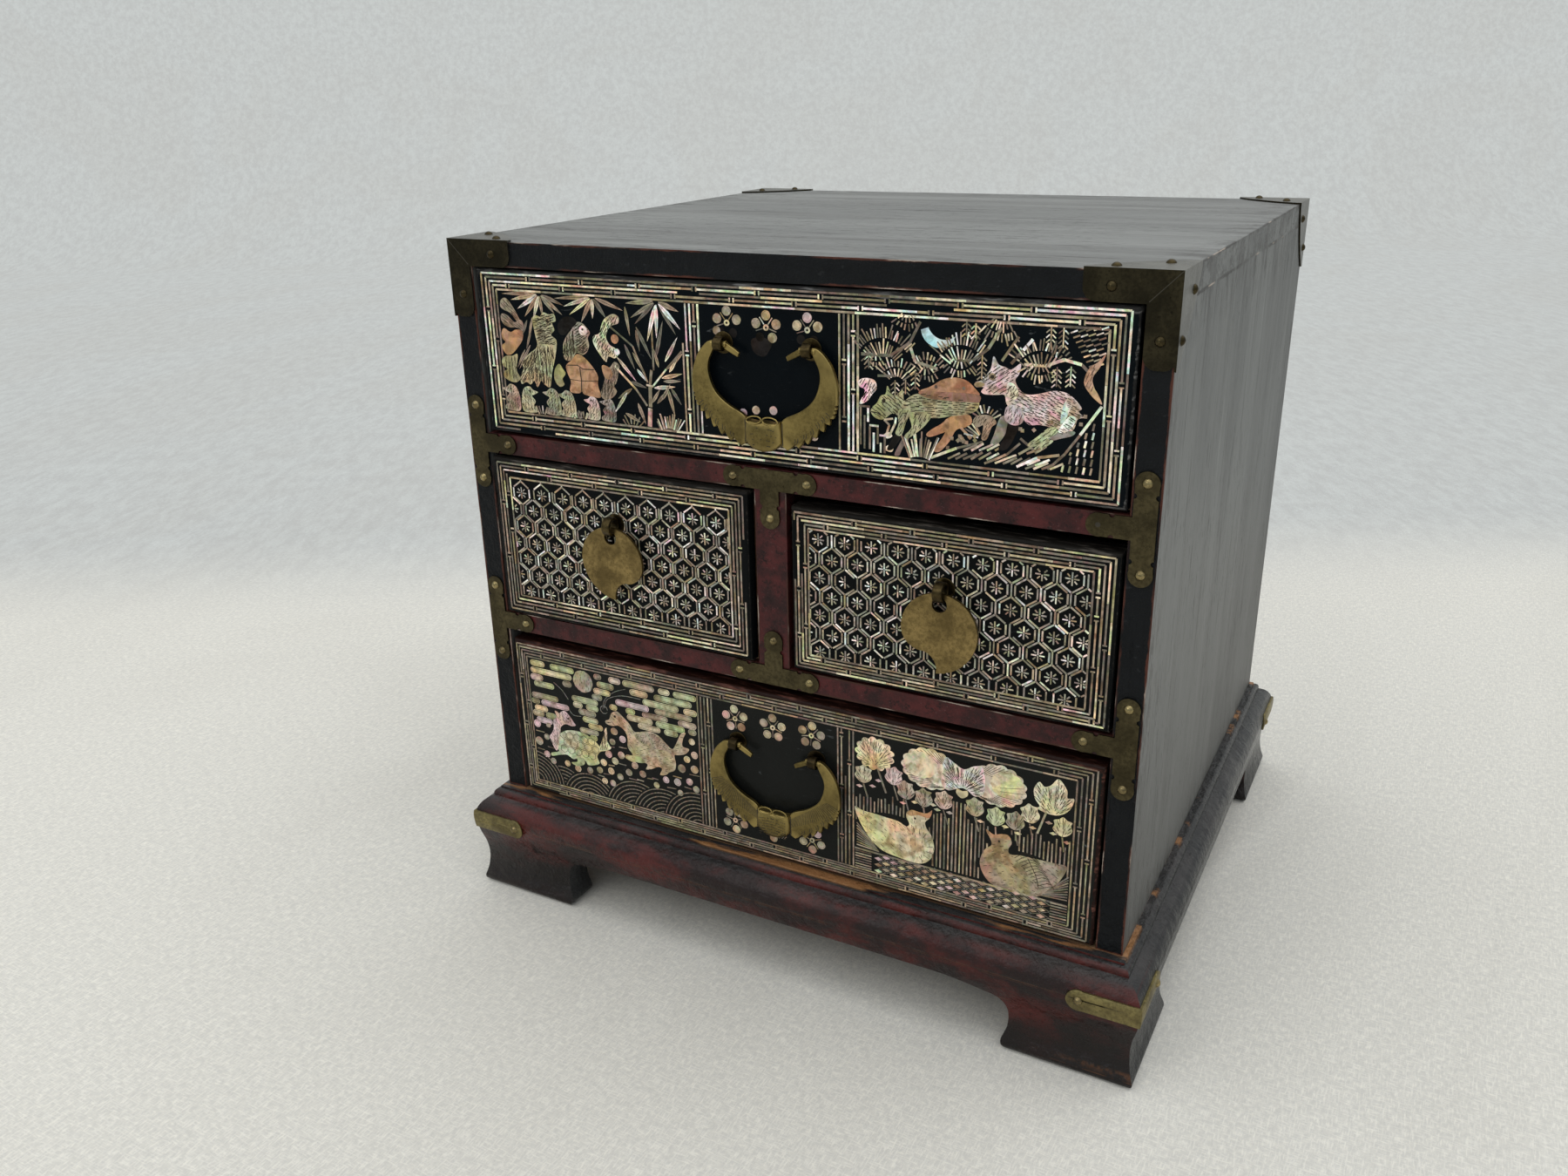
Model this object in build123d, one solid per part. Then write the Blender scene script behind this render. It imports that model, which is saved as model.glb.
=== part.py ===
from build123d import *
import math
import os

# A small Korean lacquered chest: four drawers in three rows, on a low moulded stand with bracket feet.
# Millimetres. +Z is up, the drawers face -Y, and +X is to the right of someone facing the drawers.
# The origin is on the floor, under the middle of the whole chest.

# ------------------------------------------------------------------ driving dimensions

# Case
case_width = 340.0
case_depth = 306.0
side_thick = 11.8
top_thick = 11.5
bottom_thick = 9.0
back_thick = 8.0
housing_depth = 3.0

# The three rows of drawers, and the front rails and post between them
top_row = 80.5
middle_row = 85.0
bottom_row = 95.0
rail_height = 10.0
rail_depth = 40.0
post_width = 16.0
dust_board_thick = 6.0
partition_thick = 6.0

# Stand: the skirt's section, its feet and the arch between them
base_height = 58.0
case_setback = 2.5
skirt_inner = 6.0
ledge_width = 2.2
ledge_step = 1.0
bead_radius = 3.0
bead_step = 0.8
bulge_reach = 13.0
bulge_drop = 15.5
turn_reach = 11.0
turn_drop = 29.0
foot_reach = 11.8
foot_round = 4.0
foot_under = 2.8
foot_length = 46.0
foot_toe_in = 2.2
foot_toe_height = 6.2
foot_toe_out = 2.0
foot_toe_bow = 1.9
foot_edge_bow = 0.95
arch_height = 31.5
arch_fall_run = 35.2
arch_fall_bow = 0.65
arch_knee_run = 11.0
arch_knee_drop = 3.3
arch_knee_height = 9.7
arch_knee_bow = 3.1
block_leg = 30.0
block_lift = 4.0

# Drawers
front_thick = 13.0
front_lift = 1.5
front_edge_radius = 1.6
front_lap = 7.0
drawer_rear_gap = 13.4
drawer_board = 7.0
drawer_bottom_thick = 4.0
drawer_bottom_lift = 4.0
drawer_groove = 3.0
side_drop = 7.0
runner_gap = 0.3

# Each drawer front: the gaps at its left, right and top, and how far it stands proud of the case
top_gaps = (2.6, 1.4, 0.9)
top_proud = 0.4
left_gaps = (3.4, 2.2, 1.2)
left_proud = 3.0
right_gaps = (2.8, 1.2, 5.4)
right_proud = 1.5
bottom_gaps = (3.2, 1.2, 4.4)
bottom_proud = 1.5

# Sheet brass fittings
sheet = 0.9
bracket_arm = 35.5
bracket_front_width = 11.6
bracket_end_radius = 5.0
bracket_flange = 29.0
bracket_bow = 2.4
tee_width = 9.4
tee_reach = 18.5
tee_stem = 17.8
tee_lobe = 4.9
tee_notch = 1.1
tee_notch_back = 5.2
strap_drop = 12.4
strap_width = 10.2
strap_length = 27.0
strap_lobe = 5.4

# Domed nails
nail_head_radius = 2.1
nail_head_height = 1.4
nail_shank_radius = 0.7
nail_shank_length = 5.0
bracket_nail_along = 24.8
bracket_nail_deep = 4.4
bracket_nail_side = 18.5
bracket_nail_in = 8.3

# Cotter pins that carry the handles
loop_width = 4.4
loop_strip = 1.2
loop_round = 0.5
leg_width = 2.8
leg_thick = 1.8
clinch_length = 15.0
clinch_thick = 0.9
rosette_radius = 4.8
rosette_thick = 0.6

# Bat-shaped bails
bail_spacing = 42.6
bail_pin_radius = 1.6
bail_pin_gap = 0.3
bail_side_gap = 0.5
bail_thick = 2.4
bail_wing_reach = 14.0
bail_shoulder = 16.0
bail_shoulder_bow = 3.5
bail_wing_drop = 27.0
bail_scallops = 5
bail_scallop_sweep = 72.0
bail_scallop_depth = 1.0
bail_waist_reach = 3.7
bail_waist_drop = 18.5
bail_waist_bow = 3.0
bail_inner_drop = 30.2
bail_inner_bow = 1.8
bail_body_half = 8.8
bail_body_lap = 0.6
bail_body_drop = 45.0
bail_body_chin = 3.6
bail_body_bulge = 2.6
bail_body_round = 1.6
bail_ear_radius = 2.3
bail_ear_wire = 0.8
bail_tip_length = 7.5
bail_tip_width = 2.6
bail_tip_thick = 1.4
bail_tip_angle = 28.0
top_bail_drop = 25.5
bottom_bail_drop = 28.7

# Comma-shaped pull plates
pull_radius = 17.3
pull_thick = 1.6
pull_hole_radius = 3.4
pull_rim = 1.6
pull_cheek_bow = 3.1
pull_notch_out = 6.9
pull_notch_drop = 9.9
pull_notch_bow = 2.3
pull_tail_out = 0.9
pull_tail_drop = 19.3
pull_back_bow = 4.9
pull_loop_inner = 3.3
pull_loop_lift = 1.35
left_pull_drop = 25.9
right_pull_drop = 27.7

# How far a cutting shape reaches past what it cuts
overrun = 1.0

# ------------------------------------------------------------------ places worked out from them

case_height = bottom_row + middle_row + top_row + 2 * rail_height + top_thick
ring_depth = case_depth + case_setback
case_front = case_setback - ring_depth / 2
case_back = case_front + case_depth
case_half = case_width / 2
case_bottom = base_height
case_top = base_height + case_height
opening_half = case_half - side_thick
opening_top = case_top - top_thick
back_face = case_back - back_thick
rail_back = case_front + rail_depth
lower_rail_z = case_bottom + bottom_row + rail_height
upper_rail_z = lower_rail_z + middle_row + rail_height
post_half = post_width / 2

bail_loop_inner = bail_pin_radius + bail_pin_gap

os.makedirs("parts", exist_ok=True)
nodes = {}


def span(x0, x1, y0, y1, z0, z1):
    """A block between two corners."""
    middle = Pos((x0 + x1) / 2, (y0 + y1) / 2, (z0 + z1) / 2)
    return middle * Box(x1 - x0, y1 - y0, z1 - z0)


def facing_front(x, y, z):
    """A plane at a point, facing the viewer of the drawers: its x is +X and its y is +Z."""
    return Plane(origin=(x, y, z), x_dir=(1, 0, 0), z_dir=(0, -1, 0))


def rod(radius, start, end):
    """A round rod from one point to another."""
    line = Vector(*end) - Vector(*start)
    return extrude(Plane(origin=start, z_dir=line) * Circle(radius), line.length)


def left_right(shape):
    """The shape mirrored to the other side of the chest."""
    return mirror(shape, about=Plane.YZ)


def front_rear(shape, middle_y):
    """The shape mirrored front to rear about a given middle."""
    return mirror(shape, about=Plane(origin=(0, middle_y, 0), z_dir=(0, 1, 0)))


# ------------------------------------------------------------------ nails

nail_list = []


def nail(point, out):
    """Adds a domed nail: its head rests on a surface at point, and its shank goes in against out."""
    plane = Plane(origin=point, z_dir=out)
    ball_radius = (nail_head_radius**2 + nail_head_height**2) / (2 * nail_head_height)
    ball = plane * Pos(0, 0, nail_head_height - ball_radius) * Sphere(ball_radius)
    dome = ball & extrude(plane * Circle(ball_radius), nail_head_height + overrun)
    shank = extrude(plane * Circle(nail_shank_radius), -nail_shank_length)
    nail_list.append((dome + shank, shank))


def drill(solid):
    """The solid with a hole for every nail shank that enters it."""
    box = solid.bounding_box()
    for _, shank in nail_list:
        reach = shank.bounding_box()
        if box.overlaps(reach):
            solid = solid - shank
    return solid


# ------------------------------------------------------------------ brass corner brackets


def flange_outline():
    """A flange on a plane whose x runs along the front arm and whose y runs back from the front."""
    t = sheet
    far = (bracket_arm, 2 * t)
    deep = (2 * t, bracket_flange)
    slope = math.hypot(far[0] - deep[0], far[1] - deep[1])
    bow_x = (deep[1] - far[1]) / slope * bracket_bow
    bow_y = (far[0] - deep[0]) / slope * bracket_bow
    middle = ((far[0] + deep[0]) / 2 + bow_x, (far[1] + deep[1]) / 2 + bow_y)
    return [
        Line((-t, -t), (bracket_arm, -t)),
        Line((bracket_arm, -t), far),
        ThreePointArc(far, middle, deep),
        Line(deep, (-t, bracket_flange)),
        Line((-t, bracket_flange), (-t, -t)),
    ]


def bracket_shape():
    """The front right cap: an L on the front with rounded arm ends, and flanges on the top and side."""
    y0 = case_front - sheet
    x1 = case_half + sheet
    z1 = case_top + sheet
    w = bracket_front_width
    across = span(case_half - bracket_arm, x1, y0, case_front, case_top - w, z1)
    down = span(case_half - w, x1, y0, case_front, case_top - bracket_arm, z1)
    across_end = across.edges().filter_by(Axis.Y).group_by(Axis.X)[0].group_by(Axis.Z)[0]
    down_end = down.edges().filter_by(Axis.Y).group_by(Axis.Z)[0]
    across = fillet(across_end, bracket_end_radius)
    down = fillet(down_end, bracket_end_radius)
    corner = (case_half, case_front, case_top)
    top_plane = Plane(origin=corner, x_dir=(-1, 0, 0), z_dir=(0, 0, -1))
    side_plane = Plane(origin=corner, x_dir=(0, 0, -1), z_dir=(1, 0, 0))
    top_flange = extrude(top_plane * make_face(flange_outline()), -sheet)
    side_flange = extrude(side_plane * make_face(flange_outline()), sheet)
    return across + down + top_flange + side_flange


def bracket_nails(side, rear):
    """The six nails of a corner bracket; side is 1 at the right, and rear is 1 at the back."""
    y_face = case_back + sheet if rear else case_front - sheet
    y_edge = case_back if rear else case_front
    inward = -1 if rear else 1
    out = (0, 1, 0) if rear else (0, -1, 0)
    middle = bracket_front_width / 2
    x_face = side * (case_half + sheet)
    nail((side * (case_half - bracket_nail_along), y_face, case_top - middle), out)
    nail((side * (case_half - middle), y_face, case_top - bracket_nail_along), out)
    for along, deep in ((bracket_nail_along, bracket_nail_deep), (bracket_nail_in, bracket_nail_side)):
        y = y_edge + inward * deep
        nail((side * (case_half - along), y, case_top + sheet), (0, 0, 1))
        nail((x_face, y, case_top - along), (side, 0, 0))


bracket = bracket_shape()
case_middle = (case_front + case_back) / 2
nodes["corner_bracket_front_right"] = bracket
nodes["corner_bracket_front_left"] = left_right(bracket)
nodes["corner_bracket_rear_right"] = front_rear(bracket, case_middle)
nodes["corner_bracket_rear_left"] = left_right(front_rear(bracket, case_middle))
for side in (-1, 1):
    for rear in (0, 1):
        bracket_nails(side, rear)

# ------------------------------------------------------------------ brass tee brackets


def tee_face():
    """A tee with its arms along x and its stem down, lobed and notched at the three ends."""
    face = Rectangle(2 * tee_reach, tee_width)
    face += Pos(0, -tee_stem / 2) * Rectangle(tee_width, tee_stem)
    for turn in (0, 90, -90):
        end = Rot(0, 0, turn)
        reach = tee_stem if turn == 0 else tee_reach
        face += end * Pos(0, -reach) * Circle(tee_lobe)
        for edge in (-1, 1):
            face -= end * Pos(edge * tee_width / 2, tee_notch_back - reach) * Circle(tee_notch)
    return face


tee_x = case_half - side_thick / 2
upper_z = upper_rail_z - rail_height / 2
lower_z = lower_rail_z - rail_height / 2
tee_places = {
    "tee_bracket_upper_left": (-tee_x, upper_z, 90),
    "tee_bracket_upper_centre": (0, upper_z, 0),
    "tee_bracket_upper_right": (tee_x, upper_z, -90),
    "tee_bracket_lower_left": (-tee_x, lower_z, 90),
    "tee_bracket_lower_centre": (0, lower_z, 180),
    "tee_bracket_lower_right": (tee_x, lower_z, -90),
}
# one nail has dropped out of the upper right tee, at the end of its stem
missing_nail = ("tee_bracket_upper_right", "stem")
for name, (x, z, turn) in tee_places.items():
    place = facing_front(x, case_front, z).location * Rot(0, 0, turn)
    nodes[name] = extrude(place * tee_face(), sheet)
    ends = {"arm_a": (-tee_reach, 0, sheet), "arm_b": (tee_reach, 0, sheet), "stem": (0, -tee_stem, sheet)}
    for end, local in ends.items():
        if (name, end) != missing_nail:
            nail(tuple((place * Pos(*local)).position), (0, -1, 0))

# ------------------------------------------------------------------ moulded stand


def skirt_section(grow):
    """The skirt's section: x is the reach outwards from the case line, y the height. grow pads its face."""
    top = base_height
    step = top - ledge_step
    bead_low = step - bead_radius
    bead_mid = bead_radius * math.sqrt(0.5)
    r_ledge = ledge_width + grow
    r_bead = r_ledge + bead_radius
    start = (r_bead, bead_low - bead_step)
    bulge = (bulge_reach + grow, top - bulge_drop)
    turn = (turn_reach + grow, top - turn_drop)
    foot = (foot_reach + grow, foot_round)
    sole = (foot_reach + grow - foot_under, 0)
    upper = TangentArc(bulge, start, tangent=(0, 1))
    lower = TangentArc(bulge, turn, tangent=(0, -1))
    flare = TangentArc(turn, foot, tangent=lower % 1)
    bead_top = (r_ledge + bead_mid, bead_low + bead_mid)
    return make_face(
        [
            Line((-skirt_inner, 0), (-skirt_inner, top)),
            Line((-skirt_inner, top), (r_ledge, top)),
            Line((r_ledge, top), (r_ledge, step)),
            ThreePointArc((r_ledge, step), bead_top, (r_bead, bead_low)),
            Line((r_bead, bead_low), start),
            upper,
            lower,
            flare,
            TangentArc(foot, sole, tangent=flare % 1),
            Line(sole, (-skirt_inner, 0)),
        ]
    )


def arch_face(half_run):
    """The opening between two feet, as seen from outside; x is along the skirt and y is up."""
    edge = half_run - foot_length
    fall = (edge - arch_fall_run, arch_height)
    knee = (edge - arch_knee_run, arch_height - arch_knee_drop)
    shank = (edge, arch_height - arch_knee_drop - arch_knee_height)
    toe = (edge - foot_toe_in, foot_toe_height)
    sole = (edge + foot_toe_out, 0)
    half = make_face(
        [
            Line((0, arch_height), fall),
            SagittaArc(fall, knee, arch_fall_bow),
            SagittaArc(knee, shank, arch_knee_bow),
            SagittaArc(shank, toe, foot_edge_bow),
            SagittaArc(toe, sole, -foot_toe_bow),
            Line(sole, (0, 0)),
            Line((0, 0), (0, arch_height)),
        ]
    )
    return half + mirror(half, about=Plane.YZ)


def skirt_board(half_run, distance, turn, grow=0.0):
    """A mitred skirt board that faces -Y at the given distance, turned about the chest's middle."""
    reach = half_run + bulge_reach + grow
    section_plane = Plane(origin=(reach, -distance, 0), x_dir=(0, -1, 0), z_dir=(-1, 0, 0))
    board = extrude(section_plane * skirt_section(grow), 2 * reach)
    inner = half_run - skirt_inner
    outer = reach + overrun
    mitres = Polyline(
        (-inner, skirt_inner - distance),
        (inner, skirt_inner - distance),
        (outer, half_run - distance - outer),
        (-outer, half_run - distance - outer),
        close=True,
    )
    board = board & extrude(make_face(mitres), base_height)
    arch_plane = facing_front(0, skirt_inner - distance + overrun, 0)
    arch_depth = skirt_inner + bulge_reach + grow + 2 * overrun
    board = board - extrude(arch_plane * arch_face(half_run), arch_depth)
    return Rot(0, 0, turn) * board


bottom_z = case_bottom - bottom_thick
bottom_board = span(-case_half, case_half, case_front, case_back, bottom_z, case_bottom)
skirt_places = {
    "base_front": (case_half, ring_depth / 2, 0),
    "base_left": (ring_depth / 2, case_half, -90),
    "base_right": (ring_depth / 2, case_half, 90),
    "base_back": (case_half, ring_depth / 2, 180),
}
for name, (half_run, distance, turn) in skirt_places.items():
    nodes[name] = skirt_board(half_run, distance, turn) - bottom_board
nodes["bottom_board"] = bottom_board

blocks = []
block_height = bottom_z - block_lift
for side in (-1, 1):
    for end in (-1, 1):
        x = side * (case_half - skirt_inner)
        y = end * (ring_depth / 2 - skirt_inner)
        corner = Polyline((x, y), (x - side * block_leg, y), (x, y - end * block_leg), close=True)
        blocks.append(extrude(Pos(0, 0, block_lift) * make_face(corner), block_height))
nodes["base_blocks"] = Compound(children=blocks)

# ------------------------------------------------------------------ foot straps

strap_top = case_bottom - strap_drop
strap_mid = strap_top - strap_width / 2
strap_surface = bulge_reach + sheet


def strap_half(half_run, distance, turn):
    """One leg of the strap at the right end of a skirt board, ending in a round lobe."""
    shell = skirt_board(half_run, distance, 0, grow=sheet) - skirt_board(half_run, distance, 0)
    lobe_x = half_run + bulge_reach - strap_length
    end_x = half_run + strap_surface
    middle = (lobe_x + end_x) / 2
    face = Pos(middle, strap_mid) * Rectangle(end_x - lobe_x, strap_width)
    face += Pos(lobe_x, strap_mid) * Circle(strap_lobe)
    cutter = extrude(facing_front(0, -distance, 0) * face, strap_surface + overrun)
    return Rot(0, 0, turn) * (shell & cutter)


front_leg = strap_half(case_half, ring_depth / 2, 0)
side_leg = front_rear(strap_half(ring_depth / 2, case_half, 90), 0)
strap = front_leg + side_leg
nodes["foot_strap_front_right"] = strap
nodes["foot_strap_front_left"] = left_right(strap)
nodes["foot_strap_rear_right"] = front_rear(strap, 0)
nodes["foot_strap_rear_left"] = left_right(front_rear(strap, 0))
strap_nail = bulge_reach - strap_length
for side in (-1, 1):
    for end in (-1, 1):
        x = side * (case_half + strap_nail)
        y = end * (ring_depth / 2 + strap_nail)
        nail((x, end * (ring_depth / 2 + strap_surface), strap_mid), (0, end, 0))
        nail((side * (case_half + strap_surface), y, strap_mid), (side, 0, 0))

# ------------------------------------------------------------------ case boards

nodes["top_board"] = span(-case_half, case_half, case_front, case_back, opening_top, case_top)
nodes["back_panel"] = span(-opening_half, opening_half, back_face, case_back, case_bottom, opening_top)
housed_half = opening_half + housing_depth
for name, top in (("upper", upper_rail_z), ("lower", lower_rail_z)):
    low = top - rail_height
    nodes[f"{name}_rail"] = span(-opening_half, opening_half, case_front, rail_back, low, top)
    board = span(-housed_half, housed_half, rail_back, back_face, top - dust_board_thick, top)
    nodes[f"{name}_dust_board"] = board
upper_rail_low = upper_rail_z - rail_height
lower_rail_low = lower_rail_z - rail_height
nodes["centre_post"] = span(-post_half, post_half, case_front, rail_back, lower_rail_z, upper_rail_low)
half = partition_thick / 2
partition_top = upper_rail_z - dust_board_thick
nodes["centre_partition"] = span(-half, half, rail_back, back_face, lower_rail_z, partition_top)
for name, x0, x1 in (("left_side", -case_half, -opening_half), ("right_side", opening_half, case_half)):
    board = span(x0, x1, case_front, case_back, case_bottom, opening_top)
    nodes[name] = board - nodes["upper_dust_board"] - nodes["lower_dust_board"]

# ------------------------------------------------------------------ drawers


def make_drawer(name, opening, gaps, proud):
    """A drawer in an opening (x0, x1, z0, z1). Gives its front's middle, face and top edge."""
    x0, x1, z0, z1 = opening
    left, right, above = gaps
    x0 = x0 + left
    x1 = x1 - right
    face = case_front - proud
    inner = face + front_thick
    rear = back_face - drawer_rear_gap
    top = z1 - above
    side_low = z0 + runner_gap
    side_top = top - side_drop
    floor = side_low + drawer_bottom_lift
    floor_top = floor + drawer_bottom_thick

    bottom_front = inner - drawer_groove
    bottom_x0 = x0 + drawer_board - drawer_groove
    bottom_x1 = x1 - drawer_board + drawer_groove
    bottom = span(bottom_x0, bottom_x1, bottom_front, rear, floor, floor_top)
    side_a = span(x0, x0 + drawer_board, inner - front_lap, rear, side_low, side_top)
    side_b = span(x1 - drawer_board, x1, inner - front_lap, rear, side_low, side_top)
    front = span(x0, x1, face, inner, z0 + front_lift, top)
    front = fillet(front.faces().sort_by(Axis.Y)[0].edges(), front_edge_radius)
    back = span(x0 + drawer_board, x1 - drawer_board, rear - drawer_board, rear, floor_top, side_top)
    nodes[f"{name}_drawer_front"] = front - side_a - side_b - bottom
    nodes[f"{name}_drawer_left_side"] = side_a - bottom
    nodes[f"{name}_drawer_right_side"] = side_b - bottom
    nodes[f"{name}_drawer_back"] = back
    nodes[f"{name}_drawer_bottom"] = bottom
    return (x0 + x1) / 2, face, top


top_place = make_drawer(
    "top", (-opening_half, opening_half, upper_rail_z, opening_top), top_gaps, top_proud
)
left_place = make_drawer(
    "left", (-opening_half, -post_half, lower_rail_z, upper_rail_low), left_gaps, left_proud
)
right_place = make_drawer(
    "right", (post_half, opening_half, lower_rail_z, upper_rail_low), right_gaps, right_proud
)
bottom_place = make_drawer(
    "bottom", (-opening_half, opening_half, case_bottom, lower_rail_low), bottom_gaps, bottom_proud
)

# ------------------------------------------------------------------ cotter pins


def cotter(x, face, z, loop_inner, front_node):
    """A looped cotter pin through a drawer front, clinched inside, on a small rosette. Gives both solids."""
    outer = loop_inner + loop_strip
    loop_y = face - rosette_thick - outer
    ring = Cylinder(outer, loop_width)
    ring = fillet(ring.edges(), loop_round) - Cylinder(loop_inner, loop_width)
    ring = Pos(x, loop_y, z) * Rot(0, 90, 0) * ring
    inside = face + front_thick
    half_w = leg_width / 2
    half_t = leg_thick / 2
    leg_start = loop_y + loop_inner + loop_strip / 2
    legs = span(x - half_w, x + half_w, leg_start, inside + clinch_thick, z - half_t, z + half_t)
    half_c = clinch_length / 2
    clinch = span(x - half_w, x + half_w, inside, inside + clinch_thick, z - half_c, z + half_c)
    pin = ring + legs + clinch
    rosette = extrude(facing_front(x, face, z) * Circle(rosette_radius), rosette_thick) - pin
    nodes[front_node] = nodes[front_node] - legs
    return pin, rosette


# ------------------------------------------------------------------ bat bails


def bail_wing():
    """The right half of a bail: a round shoulder, a smooth inner edge and a scalloped lower edge."""
    end = bail_spacing / 2 + loop_width / 2 + bail_side_gap
    half = bail_spacing / 2 + bail_wing_reach
    r = bail_pin_radius
    waist = (bail_spacing / 2 + bail_waist_reach, -bail_waist_drop)
    neck = (bail_body_half - bail_body_lap, -bail_inner_drop)

    def lower_edge(degrees, inset):
        angle = math.radians(degrees)
        x = (half - inset) * math.cos(angle)
        return (x, -bail_shoulder - (bail_wing_drop - inset) * math.sin(angle))

    step = bail_scallop_sweep / bail_scallops
    tips = [lower_edge(k * step, 0) for k in range(bail_scallops + 1)]
    hollows = [lower_edge((k + 0.5) * step, bail_scallop_depth) for k in range(bail_scallops)]
    scallops = [ThreePointArc(a, hollow, b) for a, hollow, b in zip(tips, hollows, tips[1:])]
    low = tips[-1][1]
    return make_face(
        scallops
        + [
            SagittaArc((end, r), (half, -bail_shoulder), bail_shoulder_bow),
            SagittaArc((end, -r), waist, bail_waist_bow),
            SagittaArc(waist, neck, bail_inner_bow),
            Line((end, r), (end, -r)),
            Line(neck, (0, -bail_inner_drop)),
            Line((0, -bail_inner_drop), (0, low)),
            Line((0, low), tips[-1]),
        ]
    )


def bail_body():
    """The bat's body: a bulging shield between the wings."""
    half = bail_body_half
    top = -bail_inner_drop - bail_ear_wire
    shoulder = bail_body_chin - bail_body_drop
    outline = [
        Line((-half, top), (half, top)),
        Line((half, top), (half, shoulder)),
        ThreePointArc((half, shoulder), (0, -bail_body_drop), (-half, shoulder)),
        Line((-half, shoulder), (-half, top)),
    ]
    body = extrude(facing_front(0, bail_thick / 2, 0) * make_face(outline), bail_thick + bail_body_bulge)
    return fillet(body.faces().sort_by(Axis.Y)[0].edges(), bail_body_round)


def bat_bail(x, face, z):
    """A bat-shaped bail hung at a drawer's face: wings, body, ring ears, pins in the loops and bent tips."""
    plane = facing_front(0, 0, 0)
    inner = bail_spacing / 2 - loop_width / 2 - bail_side_gap
    outer = bail_spacing / 2 + loop_width / 2 + bail_side_gap + bail_pin_radius
    wing = extrude(plane * bail_wing(), bail_thick / 2, both=True)
    pin = rod(bail_pin_radius, (inner, 0, 0), (outer, 0, 0))
    tip_place = Pos(inner + bail_tip_thick / 2, 0, 0) * Rot(0, 0, bail_tip_angle)
    tip = tip_place * Pos(-bail_tip_length / 2, 0, 0) * Box(bail_tip_length, bail_tip_width, bail_tip_thick)
    ear_x = bail_ear_radius + bail_ear_wire
    ear = Pos(ear_x, -bail_inner_drop, bail_thick / 2) * Torus(bail_ear_radius, bail_ear_wire)
    half = wing + pin + plane * tip + plane * ear
    bail = half + left_right(half) + bail_body()
    return Pos(x, face - bail_standoff, z) * bail


bail_standoff = rosette_thick + bail_loop_inner + loop_strip
for name, place, drop in (
    ("top", top_place, top_bail_drop),
    ("bottom", bottom_place, bottom_bail_drop),
):
    x, face, top = place
    z = top - drop
    nodes[f"{name}_bail"] = bat_bail(x, face, z)
    solids = []
    for side in (-1, 1):
        post_x = x + side * bail_spacing / 2
        solids += cotter(post_x, face, z, bail_loop_inner, f"{name}_drawer_front")
    nodes[f"{name}_bail_cotters"] = Compound(children=solids)

# ------------------------------------------------------------------ comma pulls


def comma_face():
    """A round plate with a notch that leaves a tail; the middle of its top rim is the origin."""
    r = pull_radius
    notch = (pull_notch_out, -pull_notch_drop)
    tail = (pull_tail_out, -pull_tail_drop)
    outline = make_face(
        [
            ThreePointArc((-r, 0), (0, r), (r, 0)),
            SagittaArc((r, 0), notch, pull_cheek_bow),
            SagittaArc(notch, tail, -pull_notch_bow),
            SagittaArc(tail, (-r, 0), pull_back_bow),
        ]
    )
    hole_y = r - pull_rim - pull_hole_radius
    outline -= Pos(0, hole_y) * Circle(pull_hole_radius)
    return Pos(0, pull_rim / 2 - r) * outline


def pull_plate(x, face, z):
    """A comma plate whose rim lies in its cotter's loop."""
    plate = extrude(facing_front(0, pull_thick / 2, 0) * comma_face(), pull_thick)
    return Pos(x, face - pull_standoff, z) * plate


pull_standoff = rosette_thick + pull_loop_inner + loop_strip
for name, place, drop in (
    ("left", left_place, left_pull_drop),
    ("right", right_place, right_pull_drop),
):
    x, face, top = place
    z = top - drop
    plate = pull_plate(0, face, z)
    if name == "right":
        plate = left_right(plate)
    nodes[f"{name}_pull_plate"] = Pos(x, 0, 0) * plate
    loop_z = z + pull_loop_lift
    nodes[f"{name}_pull_cotter"] = Compound(
        children=cotter(x, face, loop_z, pull_loop_inner, f"{name}_drawer_front")
    )

# ------------------------------------------------------------------ nail holes, and the files

for name, solid in nodes.items():
    nodes[name] = drill(solid)
nodes["bracket_nails"] = Compound(children=[solid for solid, _ in nail_list])

for name, solid in nodes.items():
    export_step(solid, f"parts/{name}.step")
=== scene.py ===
import math
import random

import bmesh
import bpy
from mathutils import Matrix, Vector


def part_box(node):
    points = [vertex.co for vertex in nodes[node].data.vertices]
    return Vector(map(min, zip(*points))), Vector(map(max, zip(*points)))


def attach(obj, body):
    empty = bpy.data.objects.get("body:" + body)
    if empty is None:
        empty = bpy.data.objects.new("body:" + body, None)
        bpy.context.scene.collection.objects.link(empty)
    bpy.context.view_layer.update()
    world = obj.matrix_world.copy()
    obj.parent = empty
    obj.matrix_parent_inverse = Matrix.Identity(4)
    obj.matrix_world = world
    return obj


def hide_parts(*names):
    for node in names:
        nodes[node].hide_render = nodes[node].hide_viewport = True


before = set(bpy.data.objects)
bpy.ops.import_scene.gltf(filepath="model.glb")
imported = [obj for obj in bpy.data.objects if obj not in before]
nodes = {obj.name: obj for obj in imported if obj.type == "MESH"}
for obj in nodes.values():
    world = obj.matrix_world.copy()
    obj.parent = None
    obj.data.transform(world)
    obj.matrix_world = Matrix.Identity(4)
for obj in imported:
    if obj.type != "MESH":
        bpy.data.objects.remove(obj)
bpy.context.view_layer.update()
random.seed(7)

# A small Korean lacquered chest of drawers inlaid with shell. Metres; +Z up; the drawers face -Y.
MM = 0.001

# -------------------------------------------------- colours (linear)

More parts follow.
